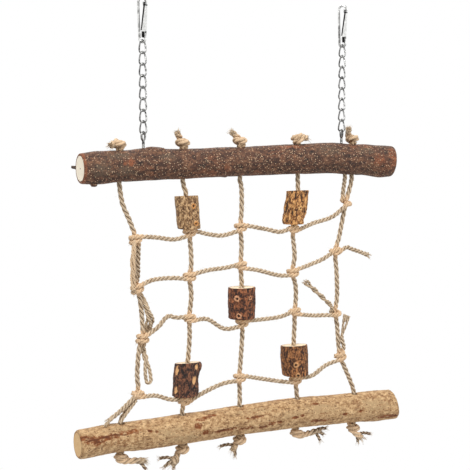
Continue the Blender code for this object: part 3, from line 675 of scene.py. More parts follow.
HITCHES = (
    ((-0.0930, -0.0525), (-0.0495, -0.0497), (-0.0065, -0.0477), (0.0395, -0.0512), (0.0880, -0.0316)),
    ((-0.0920, -0.0898), (-0.0495, -0.0836), (-0.0062, -0.0776), (0.0395, -0.0859), (0.0784, -0.0710)),
    ((-0.0878, -0.1280), (-0.0498, -0.1156), (-0.0052, -0.1227), (0.0415, -0.1174), (0.0789, -0.1210)),
    ((-0.0922, -0.1702), (-0.0545, -0.1796), (-0.0072, -0.1660), (0.0425, -0.1730), (0.0838, -0.1576)),
)
HANGING_POINTS = (
    (
        ((-0.1042, -0.0190), (-0.1024, -0.0275), (-0.0970, -0.0400)),
        ((-0.0942, -0.0700),),
        ((-0.0895, -0.1000), (-0.0880, -0.1170)),
        ((-0.0905, -0.1345), (-0.0925, -0.1550)),
        ((-0.0975, -0.1775), (-0.1030, -0.1845)),
    ),
    (
        ((-0.0520, -0.0210),),
        ((-0.0482, -0.0640), (-0.0480, -0.0760)),
        ((-0.0480, -0.0980),),
        ((-0.0495, -0.1290), (-0.0510, -0.1480)),
        (),
    ),
    (
        ((-0.0056, -0.0180), (-0.0055, -0.0350)),
        ((-0.0055, -0.0620),),
        ((-0.0053, -0.0930),),
        ((-0.0047, -0.1300), (-0.0060, -0.1500)),
        ((-0.0070, -0.1790),),
    ),
    (
        ((0.0438, -0.0200),),
        ((0.0400, -0.0610), (0.0412, -0.0732)),
        ((0.0422, -0.0970), (0.0425, -0.1080)),
        ((0.0415, -0.1280), (0.0408, -0.1430)),
        (),
    ),
    (
        ((0.0920, -0.0180),),
        ((0.0850, -0.0450), (0.0815, -0.0610)),
        ((0.0798, -0.0890), (0.0804, -0.1080)),
        ((0.0806, -0.1310), (0.0820, -0.1460)),
        ((0.0886, -0.1683), (0.0945, -0.1810)),
    ),
)
TOP_TAILS = (
    (200, 0.0075, 0.0040), (185, 0.0045, 0.0120), (170, 0.0065, 0.0115), (10, 0.0085, 0.0045),
    (215, 0.0070, 0.0125),
)
BOTTOM_TAILS = (
    (-10, 0.0175, 0.0085), (205, 0.0115, 0.0135), (200, 0.0075, 0.0110), (0, 0.0215, 0.0050),
    (-50, 0.0075, 0.0130),
)
BEAD_ROWS = (
    (None, "upper_left_bead", None, "upper_right_bead", None),
    (None, None, None, None, None),
    (None, None, "middle_bead", None, None),
    (None, "lower_left_bead", None, "lower_right_bead", None),
)
BEAD_HITCHES = {
    bead: (column, row) for row, beads in enumerate(BEAD_ROWS) for column, bead in enumerate(beads) if bead
}


def sisal_finish():
    """Twisted sisal: pale fibres along each strand, painted shade between the strands, and warmer in the
    knots.
    """
    sisal = Finish("sisal_rope", 0.85)
    fibres = sisal.grain(sisal.place(1, (2.6, 0.16, 1), "lay"), detail=6, roughness=0.7)
    blotch = sisal.grain(sisal.place(6, (1, 1, 1), "lay"), detail=3)
    colour = sisal.ramp(fibres, (0.27, (124, 98, 70)), (0.47, (194, 169, 137)), (0.70, (242, 227, 204)))
    colour = sisal.over(colour, (156, 132, 104), sisal.band(blotch, 0.50, 0.72))
    warm = sisal.mask("tone", "Y")
    colour = sisal.over(colour, (230, 192, 150), warm, sisal.band(fibres, 0.2, 0.7))
    # Painted shade: brown over the hollows between strands and over strands given a shade, less in the
    # knots.
    groove_shade = sisal.band(sisal.mask("tone", "X"), 0.34, 1.02)
    shaded = sisal.times(groove_shade, sisal.band(blotch, 0.20, 0.48))
    colour = sisal.over(colour, (100, 74, 50), shaded, sisal.band(warm, 1.5, 0.0))
    colour = sisal.over(colour, (222, 198, 164), sisal.mask("tone", "Z"))
    sisal.shader.inputs["Sheen Weight"].default_value = 0.10
    return sisal.done(colour, sisal.relief(fibres, 0.35))


SISAL = sisal_finish()


def smooth(points, steps):
    """Closely spaced points on a smooth line through the given ones."""
    points = [Vector(p) for p in points]
    padded = [2 * points[0] - points[1], *points, 2 * points[-1] - points[-2]]
    run = []
    for before, start, end, after in zip(padded, padded[1:], padded[2:], padded[3:]):
        chord = (end - start).length
        leave = (end - before).normalized() * chord
        arrive = (after - start).normalized() * chord
        for step in range(steps):
            t = step / steps
            run.append(
                start * (2 * t**3 - 3 * t**2 + 1)
                + leave * (t**3 - 2 * t**2 + t)
                + end * (3 * t**2 - 2 * t**3)
                + arrive * (t**3 - t**2)
            )
    run.append(points[-1])
    return run


def even(points, step):
    """The same line with its points about a step apart."""
    line = np.array(points)
    along = np.concatenate(([0], np.cumsum(np.linalg.norm(np.diff(line, axis=0), axis=1))))
    at = np.linspace(0, along[-1], max(3, round(along[-1] / step) + 1))
    return [Vector(p) for p in np.stack([np.interp(at, along, line[:, k]) for k in range(3)], axis=1)]


def rope_line(points, steps=10):
    """A smooth line through the given points, in steps that suit a rope."""
    return even(smooth(points, steps), ROPE_STEP)


def end_way(line):
    """The direction in which a line ends."""
    return (line[-1] - line[-END_SPAN]).normalized()


def carried(points):
    """Direction and two square sides at each point of a line, carried along it without twisting."""
    ways = [(b - a).normalized() for a, b in zip(points, points[1:])]
    ways = [ways[0], *[(a + b).normalized() for a, b in zip(ways, ways[1:])], ways[-1]]
    side = ways[0].orthogonal().normalized()
    frames = []
    for way in ways:
        side = (side - way * side.dot(way)).normalized()
        frames.append((way, side, way.cross(side)))
    return frames


class Yarn:
    """Points, faces and finish values of one rope piece, gathered before its mesh is made."""

    def __init__(self):
        self.points = []
        self.faces = []
        self.lay = []
        self.tone = []

    def rings(self, rings):
        """Join rings of points, all of one count, into a tube. Each point comes with its lay and tone."""
        first = len(self.points)
        for ring in rings:
            for point, lay, tone in ring:
                self.points.append(point)
                self.lay.append(lay)
                self.tone.append(tone)
        self.faces += tube_faces(first, len(rings), len(rings[0]), False)

    def rope(
        self, route, radius, start=0.0, warmth=None, girth=None, pale=0.0, shade=0.0, lay_length=CROSS_LAY
    ):
        """A three-strand rope along a route. start is how far along its lay the rope already is."""
        rings = []
        done = start
        for number, (spot, (way, side, other)) in enumerate(zip(route, carried(route))):
            if number:
                done += (spot - route[number - 1]).length
            turn = -2 * math.pi * done / lay_length + LAY_WANDER * noise.noise(spot / LAY_WANDER_SIZE)
            warm = warmth(spot) if warmth else 0.0
            full = radius * ROPE_FULLNESS * (girth(spot) if girth else 1.0)
            full *= 1 + GIRTH_WANDER * noise.noise(spot / GIRTH_WANDER_SIZE)
            ring = []
            for strand in range(STRANDS):
                for step in range(STRAND_POINTS):
                    within = (step + 0.5) / STRAND_POINTS - 0.5
                    angle = turn + 2 * math.pi * (strand + within) / STRANDS
                    crest = math.cos(2 * math.pi * within / STRANDS)
                    point = spot + around(side, other, angle) * full * crest
                    lay = (done / MM, within * 2 * full / MM, strand * 7.3 + 40 * radius / MM)
                    # The first tone value paints shade: most between the strands, and more over a strand
                    # given a shade.
                    ring.append((point, lay, ((1 - crest) / GROOVE_FALL + shade, warm, pale)))
            rings.append(ring)
        self.rings(rings)

    def fibre(self, points, thickness, pale):
        """One loose fibre or yarn, thinner towards its end."""
        rings = []
        for number, (spot, (way, side, other)) in enumerate(zip(points, carried(points))):
            thin = thickness * (1 - FIBRE_TAPER * number / (len(points) - 1))
            ring = []
            for corner in range(FIBRE_SIDES):
                angle = 2 * math.pi * corner / FIBRE_SIDES
                point = spot + around(side, other, angle) * thin
                lay = (number * 1.2, thickness / MM * math.cos(angle), 90 * thickness / MM)
                ring.append((point, lay, (0.0, 0.2, pale)))
            rings.append(ring)
        self.rings(rings)

    def unlaid(self, route, radius, count, stand_off, pitch, dice, pale=0.3, warm=0.0):
        """Whole strands that have left the lay and wind loosely round a route.

        stand_off gives how far they stand off the route at shares of its length.
        """
        frames = carried(route)
        shares = np.linspace(0, 1, len(route))
        away = np.interp(shares, *zip(*stand_off))
        for number in range(count):
            first = 2 * math.pi * (number + dice.uniform(-0.12, 0.12)) / count
            line = []
            for at, (spot, (way, side, other)) in enumerate(zip(route, frames)):
                turn = first - 2 * math.pi * at * ROPE_STEP / pitch
                line.append(spot + around(side, other, turn) * away[at])
            shade = dice.uniform(0.0, 0.35)
            paleness = pale * dice.uniform(0.4, 1.4)
            self.rope(line, radius, number * CROSS_LAY / 3, lambda spot: warm, pale=paleness, shade=shade)

    def looped(self, route, radius, straight, wound, loop, pitch):
        """One strand laid double along a route: it winds round itself and ends in an open loop.

        straight is the share of the route that is wound. wound and loop are how far apart it stands.
        """
        down = []
        up = []
        for at, (spot, (way, side, other)) in enumerate(zip(route, carried(route))):
            share = at / (len(route) - 1)
            level = Vector((0, 1, 0)).cross(way).normalized()
            depth = way.cross(level)
            open_share = max(0.0, (share - straight) / (1 - straight))
            turn = 2 * math.pi * (min(share, straight) - straight) * len(route) * ROPE_STEP / pitch
            away = wound + (loop - wound) * math.sin(0.75 * math.pi * open_share)
            out = around(level, depth, turn) * away
            down.append(spot + out)
            up.append(spot - out)
        end = route[-1] + end_way(route) * 0.7 * MM
        self.rope(rope_line([*down[::3], end, *up[::-3]], 6), radius, pale=0.25)

    def fray(self, end, way, radius, count, reach, spread, dice):
        """A brush of loose fibres where the rope's strands have opened at its end."""
        side = way.orthogonal().normalized()
        other = way.cross(side)
        for _ in range(count):
            angle = dice.uniform(0, 2 * math.pi)
            off = radius * math.sqrt(dice.uniform(0, 1)) * 0.85
            out = around(side, other, angle)
            start = end + out * off - way * FRAY_ROOT_MM * MM
            long = reach * dice.uniform(0.45, 1.0)
            lean = spread * dice.uniform(0.1, 1.0)
            sag = Vector((dice.uniform(-0.2, 0.2), dice.uniform(-0.2, 0.2), -0.25)) * long
            points = [
                start + (way * t + out * lean * t * t) * (long + FRAY_ROOT_MM * MM) + sag * t * t
                for t in (0, 0.34, 0.67, 1)
            ]
            self.fibre(points, dice.uniform(0.10, 0.19) * MM, dice.uniform(0.1, 0.8))

    def fuzz(self, route, radius, per_metre, dice, longest=3.6):
        """Short hairs that stand out of the rope's lay."""
        frames = carried(route)
        length = sum((b - a).length for a, b in zip(route, route[1:]))
        for _ in range(int(per_metre * length)):
            at = dice.randrange(1, len(route) - 1)
            way, side, other = frames[at]
            angle = dice.uniform(0, 2 * math.pi)
            out = around(side, other, angle)
            lean = way * dice.choice((-1, 1))
            long = dice.uniform(1.2, longest) * MM
            start = route[at] + out * radius * 0.7
            points = [start + (out * 0.55 * t + lean * t) * long for t in (0, 0.5, 1)]
            points[2] += out * dice.uniform(0.0, 0.4) * long
            self.fibre(points, dice.uniform(0.045, 0.075) * MM, dice.uniform(0.2, 0.7))

    def piece(self, name):
        """The gathered tubes as one object of sisal."""
        made = meshed(name, [tuple(p) for p in self.points], self.faces, SISAL)
        set_values(made.data, "lay", self.lay)
        set_values(made.data, "tone", self.tone)
        return made


def net_point(across, up, back=0.0):
    """A place in the net, drawn from the top log's axis."""
    return Vector((across, back, TOP_LOG_Z + up))


def log_faces(x, middle, length, diameter, height, stations):
    """Heights of a log's underside and top at x."""
    rise, girth = eased(np.array([(x - middle) / length + 0.5]), stations)
    return height + (rise[0] - girth[0] / 2) * diameter, height + (rise[0] + girth[0] / 2) * diameter


def stopper(hole_x, surface, direction, heading, reach, tip):
    """A rope's way out of a log: wound round itself into a tight knot on the wood, and off in a tail."""
    way = math.radians(heading)
    last = way - math.pi / 2
    points = [(0, 0, -0.002), (0, 0, 0)]
    for step in range(KNOT_STEPS + 1):
        share = step / KNOT_STEPS
        angle = last - 2 * math.pi * KNOT_TURNS * (1 - share)
        out = KNOT_REACH * min(1, KNOT_OPENING + KNOT_WIDENING * share)
        height = KNOT_FOOT + (KNOT_HEAD - KNOT_FOOT) * share + KNOT_LEAN * out * math.sin(angle - last)
        points.append((out * math.cos(angle), out * math.sin(angle), max(height, KNOT_FOOT)))
    end = Vector(points[-1])
    tail = Vector((reach * math.cos(way), reach * math.sin(way), tip))
    for share in (0.35, 0.7, 1):
        points.append(end.lerp(tail, share))
    return [Vector((hole_x + p[0], p[1], surface + direction * p[2])) for p in points]


def knot_warmth(spot):
    """How warm the fibre looks at a place: most in the hitches and the stopper knots."""
    warm = 0.0
    for row in HITCHES:
        for across, up in row:
            warm = max(warm, near((spot - net_point(across, up)).length / MM, *HITCH_GLOW))
    for holes, height in ((TOP_HOLES_X, TOP_KNOT_Z), (BOTTOM_HOLES_X, BOTTOM_KNOT_Z)):
        for x in holes:
            away = (spot - Vector((x, 0, height))).length / MM
            warm = max(warm, KNOT_WARMTH * near(away, *KNOT_GLOW))
    return warm


def knot_girth(spot):
    """The rope lies fuller in its stopper knots, which are drawn tight."""
    above = spot.z > TOP_LOG_Z + TOP_LOG_DIAMETER / 2
    below = spot.z < BOTTOM_LOG_Z - BOTTOM_LOG_DIAMETER / 2
    return KNOT_FULLNESS if above or below else 1.0


def rope_stretches(column):
    """A hanging rope's route, and the two points where its pieces meet: in its second and third hitches."""
    x = TOP_HOLES_X[column]
    under, over = log_faces(x, *TOP_LOG_SIZES)
    run = stopper(x, over, 1, *TOP_TAILS[column])[::-1]
    run += [Vector((x, 0, TOP_LOG_Z)), Vector((x, 0, under - ROPE_RADIUS))]
    for gap, points in enumerate(HANGING_POINTS[column]):
        run += [net_point(*p) for p in points]
        if gap < len(HITCHES):
            knot = net_point(*HITCHES[gap][column])
            if (column, gap) in BEAD_HITCHES.values():
                run += [run[-1].lerp(knot, share) for share in (0.33, 0.66)]
            run.append(knot)
    x = BOTTOM_HOLES_X[column]
    under, over = log_faces(x, *BOTTOM_LOG_SIZES)
    run += [Vector((x, 0, over + ROPE_RADIUS)), Vector((x, 0, BOTTOM_LOG_Z))]
    run += stopper(x, under, -1, *BOTTOM_TAILS[column])
    route = rope_line(run)
    cuts = [
        min(range(len(route)), key=lambda i: (route[i] - net_point(*HITCHES[row][column])).length)
        for row in (1, 2)
    ]
    return route, cuts


FOOT_STRANDS = {
    0: ((0.0185, -0.0030, -0.0152), (0.0200, 0.0010, -0.0108)),
    1: ((-0.0195, -0.0020, -0.0085), (-0.0150, 0.0000, -0.0165), (-0.0085, -0.0030, -0.0175)),
    2: ((-0.0170, -0.0010, -0.0070), (-0.0055, -0.0030, -0.0155)),
    3: ((0.0255, -0.0030, -0.0030), (0.0240, -0.0010, -0.0085), (0.0200, -0.0030, -0.0125)),
    4: ((0.0150, -0.0020, -0.0115), (0.0030, -0.0030, -0.0165)),
}
FOOT_STRAND_RADIUS = 0.0012
FOOT_SHADE = 0.6
FOOT_LIFT = Vector((0, 0, 0.0008))
FOOT_STAND_OFF = (
    ((0, 0.0008), (1, 0.0013)),
    ((0, 0.0012), (0.6, 0.0030), (1, 0.0022)),
    ((0, 0.0010), (1, 0.0020)),
    ((0, 0.0008), (1, 0.0016)),
    ((0, 0.0008), (1, 0.0018)),
)
FOOT_POINTS = 14
FOOT_ROOT = 12
FOOT_SPLIT = 8
FOOT_PITCH = 0.024
TAIL_POINTS = 11
TAIL_STAND_OFF = ((0, 0.0016), (1, 0.0009))
TAIL_PITCH = 0.020
TAIL_STRANDS = 4
TAIL_PALE = 0.1
STRAND_RADIUS = 0.0009
FUZZ_PER_METRE = 420
FRAY_FIBRES = 46
FRAY_REACH = 0.0065
TAIL_FRAY = (1.4 * ROPE_RADIUS, FRAY_FIBRES, FRAY_REACH * 0.4, 0.7)
FOOT_FRAY = (1.3 * ROPE_RADIUS, FRAY_FIBRES // 2, FRAY_REACH * 0.7, 0.6)
STRAND_FRAY = (FOOT_STRAND_RADIUS, 16, 0.003, 0.6)
HANGING_SEED = 11
SPREAD_PLACES = (
    (SWING_Z + 0.003, SWING_Z - 0.009),
    (FOLD_Z + 0.010, FOLD_Z - 0.010),
    (SETTLE_Z + 0.009, SETTLE_Z - 0.003),
)
for column, hole_x in enumerate(BOTTOM_HOLES_X):
    route, cuts = rope_stretches(column)
    dice = random.Random(HANGING_SEED + column)
    bounds = [0, *cuts, len(route) - 1]
    for part, label in enumerate(("top", "middle", "foot")):
        stretch = route[bounds[part] : bounds[part + 1] + 1]
        yarn = Yarn()
        done = bounds[part] * ROPE_STEP
        yarn.rope(stretch, ROPE_RADIUS, done, knot_warmth, knot_girth, lay_length=HANGING_LAY)
        yarn.fuzz(stretch, ROPE_RADIUS, FUZZ_PER_METRE, dice)
        if label == "top":
            tail = route[:TAIL_POINTS]
            yarn.unlaid(tail, STRAND_RADIUS, TAIL_STRANDS, TAIL_STAND_OFF, TAIL_PITCH, dice, TAIL_PALE)
            yarn.fray(route[0], end_way(route[::-1]), *TAIL_FRAY, dice)
        if label == "foot":
            tail = route[-FOOT_POINTS:]
            apart = FOOT_STAND_OFF[column]
            yarn.unlaid(tail, STRAND_RADIUS, TAIL_STRANDS, apart, FOOT_PITCH, dice, TAIL_PALE)
            yarn.fray(route[-1], end_way(route), *FOOT_FRAY, dice)
            under = Vector((hole_x, 0, log_faces(hole_x, *BOTTOM_LOG_SIZES)[0]))
            root = route[-FOOT_SPLIT]
            for tip in FOOT_STRANDS[column]:
                end = under + Vector(tip)
                strand = rope_line([route[-FOOT_ROOT], root, root.lerp(end, 0.5) + FOOT_LIFT, end])
                yarn.rope(strand, FOOT_STRAND_RADIUS, shade=FOOT_SHADE)
                yarn.fray(end, end_way(strand), *STRAND_FRAY, dice)
        rope = yarn.piece(f"hanging_rope_{column + 1}_{label}")
        start, end = SPREAD_PLACES[part]
        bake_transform(rope)
        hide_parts(f"hanging_rope_{column + 1}")


# Left edge rope
# A second length of sisal beside the first hanging rope, from the first hitch down behind the next two.
# Some of its strands have come open, and below the third row its end hangs free.
CROSS_RADIUS = 0.0016
EDGE_POINTS = (
    (-0.0906, -0.0010, -0.0535), (-0.0908, -0.0005, -0.0620), (-0.0910, 0.0000, -0.0710),
    (-0.0900, 0.0030, -0.0800), (-0.0898, 0.0060, -0.0898), (-0.0868, 0.0030, -0.0980),
    (-0.0838, 0.0000, -0.1065), (-0.0812, 0.0015, -0.1165), (-0.0836, 0.0060, -0.1272),
    (-0.0862, 0.0036, -0.1365), (-0.0855, 0.0000, -0.1450), (-0.0832, 0.0000, -0.1620),
)
BUNDLE_POINTS = (
    (-0.0944, -0.0036, -0.0530), (-0.0958, -0.0036, -0.0620), (-0.0964, -0.0036, -0.0720),
    (-0.0966, -0.0040, -0.0820), (-0.0966, -0.0040, -0.0905),
)
BUNDLE_STAND_OFF = ((0, 0.0007), (0.4, 0.0013), (0.85, 0.0012), (1, 0.0014))
BEND_STAND_OFF = ((0, 0.0007), (0.35, 0.0010), (0.75, 0.0026), (1, 0.0008))
MIDDLE_STAND_OFF = ((0, 0.0), (1, 0.0))
END_STAND_OFF = ((0, 0.0004), (1, 0.0013))
BUNDLE_PITCH = 0.034
BEND_PITCH = 0.040
END_PITCH = 0.03
END_POINTS = 8
END_HAIR_MM = 2.2
WIDE_STRAND = 1.2 * STRAND_RADIUS
EDGE_SHADE = 0.15
EDGE_SEED = 31
EDGE_END_LENGTH = 0.036
TIP_REACH = 0.0012
BUNDLE_FRAY = (0.0019, FRAY_FIBRES, 0.0016, 0.3)
LOOSE_FRAY = (1.1 * CROSS_RADIUS, 44, 0.0028, 0.42)
SPLIT_FRAY = (0.5 * CROSS_RADIUS, 14, 0.0012, 0.3)
SPLIT_STRAND = 0.55 * CROSS_RADIUS
SPLIT_SHARE = 0.52
SPLIT_ROOT = 6
SPLIT_BEND = 2
LOOP_STRAND = 0.0013
LOOP_FROM = 0.60
LOOP_WOUND = 0.0009
LOOP_REACH = 0.0020
LOOP_PITCH = 0.011
OPENED_STRAND = 0.0010
OPENED_PITCH = 0.018


def net_line(rows):
    """Places in the net from rows of across, back and up."""
    return [net_point(across, up, back) for across, back, up in rows]


def split_end(route, length):
    """A route's held part and its free end of that length."""
    at = len(route) - 1 - round(length / ROPE_STEP)
    return route[: at + 1], route[at:]


def loose_end(name, route, done, dice, opened=(), looped=False, tips=()):
    """A free rope end with a frayed tip.

    opened is how far its strands stand apart at shares of its length. A looped end is one strand laid
    double. With tips, the rope ends early and splits into strands.
    """
    yarn = Yarn()
    cut = round(len(route) * SPLIT_SHARE) if tips else len(route)
    if looped:
        yarn.looped(route, LOOP_STRAND, LOOP_FROM, LOOP_WOUND, LOOP_REACH, LOOP_PITCH)
    elif opened:
        yarn.unlaid(route, OPENED_STRAND, 2, opened, OPENED_PITCH, dice)
    else:
        yarn.rope(route[:cut], CROSS_RADIUS, done, knot_warmth)
        yarn.unlaid(route[-END_POINTS:], STRAND_RADIUS, 3, END_STAND_OFF, END_PITCH, dice, pale=0.0)
    yarn.fuzz(route[:cut], CROSS_RADIUS, FUZZ_PER_METRE, dice, END_HAIR_MM)
    for tip in tips:
        bend = route[cut - SPLIT_BEND]
        strand = rope_line([route[cut - SPLIT_ROOT], bend, bend.lerp(tip, 0.5), tip])
        yarn.rope(strand, SPLIT_STRAND, done)
        yarn.fray(tip, end_way(strand), *SPLIT_FRAY, dice)
    way = end_way(route)
    path = list(route)
    if not tips:
        path.append(route[-1] + way * TIP_REACH)
    if not tips and not looped:
        yarn.fray(route[-1], way, *LOOSE_FRAY, dice)
    made = yarn.piece(name)
    return made


edge_route = rope_line(net_line(EDGE_POINTS))
held, free = split_end(edge_route, EDGE_END_LENGTH)
dice = random.Random(EDGE_SEED)
yarn = Yarn()
bend = min(range(len(held)), key=lambda i: abs(held[i].z - net_point(*HITCHES[1][0]).z))
yarn.rope(held[: bend + 1], CROSS_RADIUS, 0, knot_warmth, shade=EDGE_SHADE)
yarn.unlaid(held[bend:], WIDE_STRAND, 3, BEND_STAND_OFF, BEND_PITCH, dice, pale=0.6)
yarn.unlaid(held[bend:], STRAND_RADIUS, 1, MIDDLE_STAND_OFF, BEND_PITCH, dice)
yarn.fuzz(held, CROSS_RADIUS, FUZZ_PER_METRE, dice)
edge_rope = yarn.piece("left_edge_rope_held")
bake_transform(edge_rope)
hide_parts("left_edge_rope")
bundle_route = rope_line(net_line(BUNDLE_POINTS))
yarn = Yarn()
yarn.unlaid(bundle_route, STRAND_RADIUS, 3, BUNDLE_STAND_OFF, BUNDLE_PITCH, dice, pale=0.25, warm=0.8)
yarn.fray(bundle_route[-1], end_way(bundle_route), *BUNDLE_FRAY, dice)
bundle = yarn.piece("left_edge_strands")
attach(bundle, "upper_net")
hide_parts("left_edge_rope")
edge_end = loose_end("left_edge_rope_end", free, len(held) * ROPE_STEP, dice, looped=True)
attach(edge_end, "lower_net")
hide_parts("left_edge_rope")


# Cross ropes
# Four lengths of the same sisal, each hitched once round every hanging rope on its way across the net.
# Their right ends are left as loose tails, one tucked under the top log and three hanging free.
CROSS_POINTS = (
    (
        ((-0.0777, -0.0522), (-0.0620, -0.0545)),
        ((-0.0339, -0.0520), (-0.0220, -0.0534)),
        ((0.0157, -0.0505), (0.0275, -0.0530)),
        ((0.0567, -0.0476), (0.0745, -0.0430)),
    ),
    (
        ((-0.0800, -0.0842), (-0.0634, -0.0838)),
        ((-0.0340, -0.0795), (-0.0190, -0.0785)),
        ((0.0088, -0.0824), (0.0270, -0.0875)),
        ((0.0570, -0.0797), (0.0665, -0.0765)),
    ),
    (
        ((-0.0760, -0.1202), (-0.0681, -0.1128), (-0.0610, -0.1143)),
        ((-0.0358, -0.1174), (-0.0206, -0.1262)),
        ((0.0106, -0.1214), (0.0290, -0.1203)),
        ((0.0573, -0.1218), (0.0670, -0.1224)),
    ),
    (
        ((-0.0787, -0.1727), (-0.0665, -0.1770)),
        ((-0.0419, -0.1759), (-0.0223, -0.1693)),
        ((0.0108, -0.1687), (0.0285, -0.1728)),
        ((0.0568, -0.1709), (0.0700, -0.1635)),
    ),
)
CROSS_START_POINTS = {
    3: ((-0.1165, -0.0030, -0.1872), (-0.1085, -0.0040, -0.1815)),
}
CROSS_END_POINTS = {
    0: ((0.0850, 0.0000, -0.0245), (0.0866, 0.0000, -0.0130), (0.0868, 0.0000, -0.0078)),
    1: (
        (0.0862, -0.0040, -0.0682), (0.0920, -0.0036, -0.0700), (0.0985, -0.0032, -0.0722),
        (0.1072, -0.0030, -0.0756),
    ),
    2: (
        (0.0752, -0.0005, -0.1163), (0.0700, -0.0010, -0.1112), (0.0618, -0.0015, -0.1040),
        (0.0508, -0.0015, -0.0944),
    ),
    3: (
        (0.0866, -0.0010, -0.1500), (0.0846, -0.0010, -0.1420), (0.0856, -0.0008, -0.1330),
        (0.0894, -0.0008, -0.1245),
    ),
}
FOOT_SPREAD = {
    3: (
        ((-0.1085, -0.0040, -0.1815), (-0.1150, -0.0038, -0.1862), (-0.1206, -0.0042, -0.1908)),
        ((-0.0948, -0.0038, -0.1742), (-0.1012, -0.0042, -0.1812), (-0.1086, -0.0046, -0.1900)),
    )
}
CROSS_END_TIPS = {3: ((0.0870, -0.0005, -0.1237), (0.0914, -0.0010, -0.1257))}
CROSS_END_OPENED = {2: ((0, 0.0008), (0.5, 0.0010), (0.8, 0.0010), (1, 0.0017))}
CROSS_END_TURNS = ((3, True), (4, False), (3, True), (5, True))
CROSS_END_LENGTHS = {1: 0.030, 2: 0.038, 3: 0.036}
CROSS_SHADE = -0.10
CROSS_SEED = 51
CROSS_FRAY = (CROSS_RADIUS, 24, 0.003, 0.6)
CROSS_BODIES = ("upper_net", "upper_net", "lower_net", "lower_net")
WRAP_RADIUS = 0.0034
WRAP_PITCH = 0.0035
WRAP_FULLNESS = 1.08
TUCKED_EIGHTHS = 3


def hitch_axis(row, column):
    """Direction of a hanging rope, upwards, where a cross rope is hitched round it."""
    here = net_point(*HITCHES[row][column])
    above = HANGING_POINTS[column][row]
    upper = net_point(*above[-1]) if above else net_point(*HITCHES[row - 1][column])
    if (column, row) in BEAD_HITCHES.values():
        return (upper - here).normalized()
    below = HANGING_POINTS[column][row + 1]
    lower = net_point(*below[0]) if below else Vector((BOTTOM_HOLES_X[column], 0, SETTLE_Z))
    return ((upper - here).normalized() + (here - lower).normalized()).normalized()


def hitch(row, column, rising, quarters, lead=0):
    """Points of a cross rope round a hanging rope, from the front, rising or falling as it turns.

    lead is how many eighths of a turn come before the front.
    """
    centre = net_point(*HITCHES[row][column])
    axis = hitch_axis(row, column)
    across = Vector((axis.z, 0, -axis.x))
    back = Vector((0, 1, 0))
    points = []
    for step in range(-lead, 2 * quarters + 1):
        angle = -math.pi / 2 + math.pi / 4 * step
        climb = (step / 8 - 0.5) * WRAP_PITCH * (1 if rising else -1)
        points.append(centre + around(across, back, angle) * WRAP_RADIUS + axis * climb)
    return points


def cross_route(row):
    """Points of one cross rope from its left end to its right end."""
    spans = CROSS_POINTS[row]
    columns = len(HITCHES[row])
    run = net_line(CROSS_START_POINTS.get(row, ()))
    for column, knot in enumerate(HITCHES[row]):
        before = spans[column - 1][-1][1] if column else knot[1]
        after = spans[column][0][1] if column < columns - 1 else knot[1]
        rising = after > before
        quarters = 4
        if (column, row) in BEAD_HITCHES.values():
            rising = hitch_axis(row, column).x < 0
        if column == columns - 1:
            quarters, rising = CROSS_END_TURNS[row]
        run += hitch(row, column, rising, quarters, 0 if run else TUCKED_EIGHTHS)
        if column < columns - 1:
            run += [net_point(x, z, -WRAP_RADIUS / 2) for x, z in spans[column]]
    run += net_line(CROSS_END_POINTS[row])
    return rope_line(run)


def wrap_girth(spot):
    """The cross rope lies a little fuller where it is drawn tight round a hanging rope."""
    return 1 + (WRAP_FULLNESS - 1) * knot_warmth(spot)


for row in range(len(HITCHES)):
    dice = random.Random(CROSS_SEED + row)
    route = cross_route(row)
    loose = None
    if row in CROSS_END_LENGTHS:
        route, loose = split_end(route, CROSS_END_LENGTHS[row])
    yarn = Yarn()
    yarn.rope(route, CROSS_RADIUS, 0, knot_warmth, wrap_girth, shade=CROSS_SHADE)
    yarn.fuzz(route, CROSS_RADIUS, FUZZ_PER_METRE, dice)
    yarn.fray(route[0], end_way(route[::-1]), *CROSS_FRAY, dice)
    for points in FOOT_SPREAD.get(row, ()):
        yarn.rope(rope_line(net_line(points)), WIDE_STRAND, pale=0.2)
    cross_rope = yarn.piece(f"cross_rope_{row + 1}_held")
    if row in FOOT_SPREAD:
        start, end = SPREAD_PLACES[2]
        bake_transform(cross_rope)
    else:
        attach(cross_rope, CROSS_BODIES[row])
    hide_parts(f"cross_rope_{row + 1}")
    if loose:
        tail = loose_end(
            f"cross_rope_{row + 1}_end",
            loose,
            len(route) * ROPE_STEP,
            dice,
            opened=CROSS_END_OPENED.get(row, ()),
            tips=net_line(CROSS_END_TIPS.get(row, ())),
        )
        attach(tail, CROSS_BODIES[row])
        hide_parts(f"cross_rope_{row + 1}")


# Beads
# Short lengths of branch with the bark on, sawn off and bored through for the hanging ropes.
# Each is loose on its rope, rests on the hitch below it and turns freely.
TURN_GAP = 0.0010
HITCH_PITCH = 2 * CROSS_RADIUS + TURN_GAP
BEAD_SEAT_GAP = 0.0007
BEAD_RINGS = 56
BEAD_SIDES = 132
BEAD_BORE = 0.0026
BEAD_WEAR = 0.0006
BEAD_SHARES = (0, 0.33, 0.67, 1)
BEAD_GIRTHS = (0.96, 1.0, 1.02, 0.99)
BEAD_PIT = (34, 21, 15)
# Colour of the painted shade in the beads' furrows and scar hollows.
BEAD_HOLLOW_SHADE = (34, 20, 13)
DEEP_FURROW = 0.3
TOP_CUT_FROM = 0.35


def round_scar(along, angle, radius, at, turn, size):
    """How far a place lies from a twig scar's middle, in shares of the scar's size."""
    dx = (along - at) / MM
    dy = turned(angle, turn) * radius / MM
    return math.hypot(dx, dy) / size


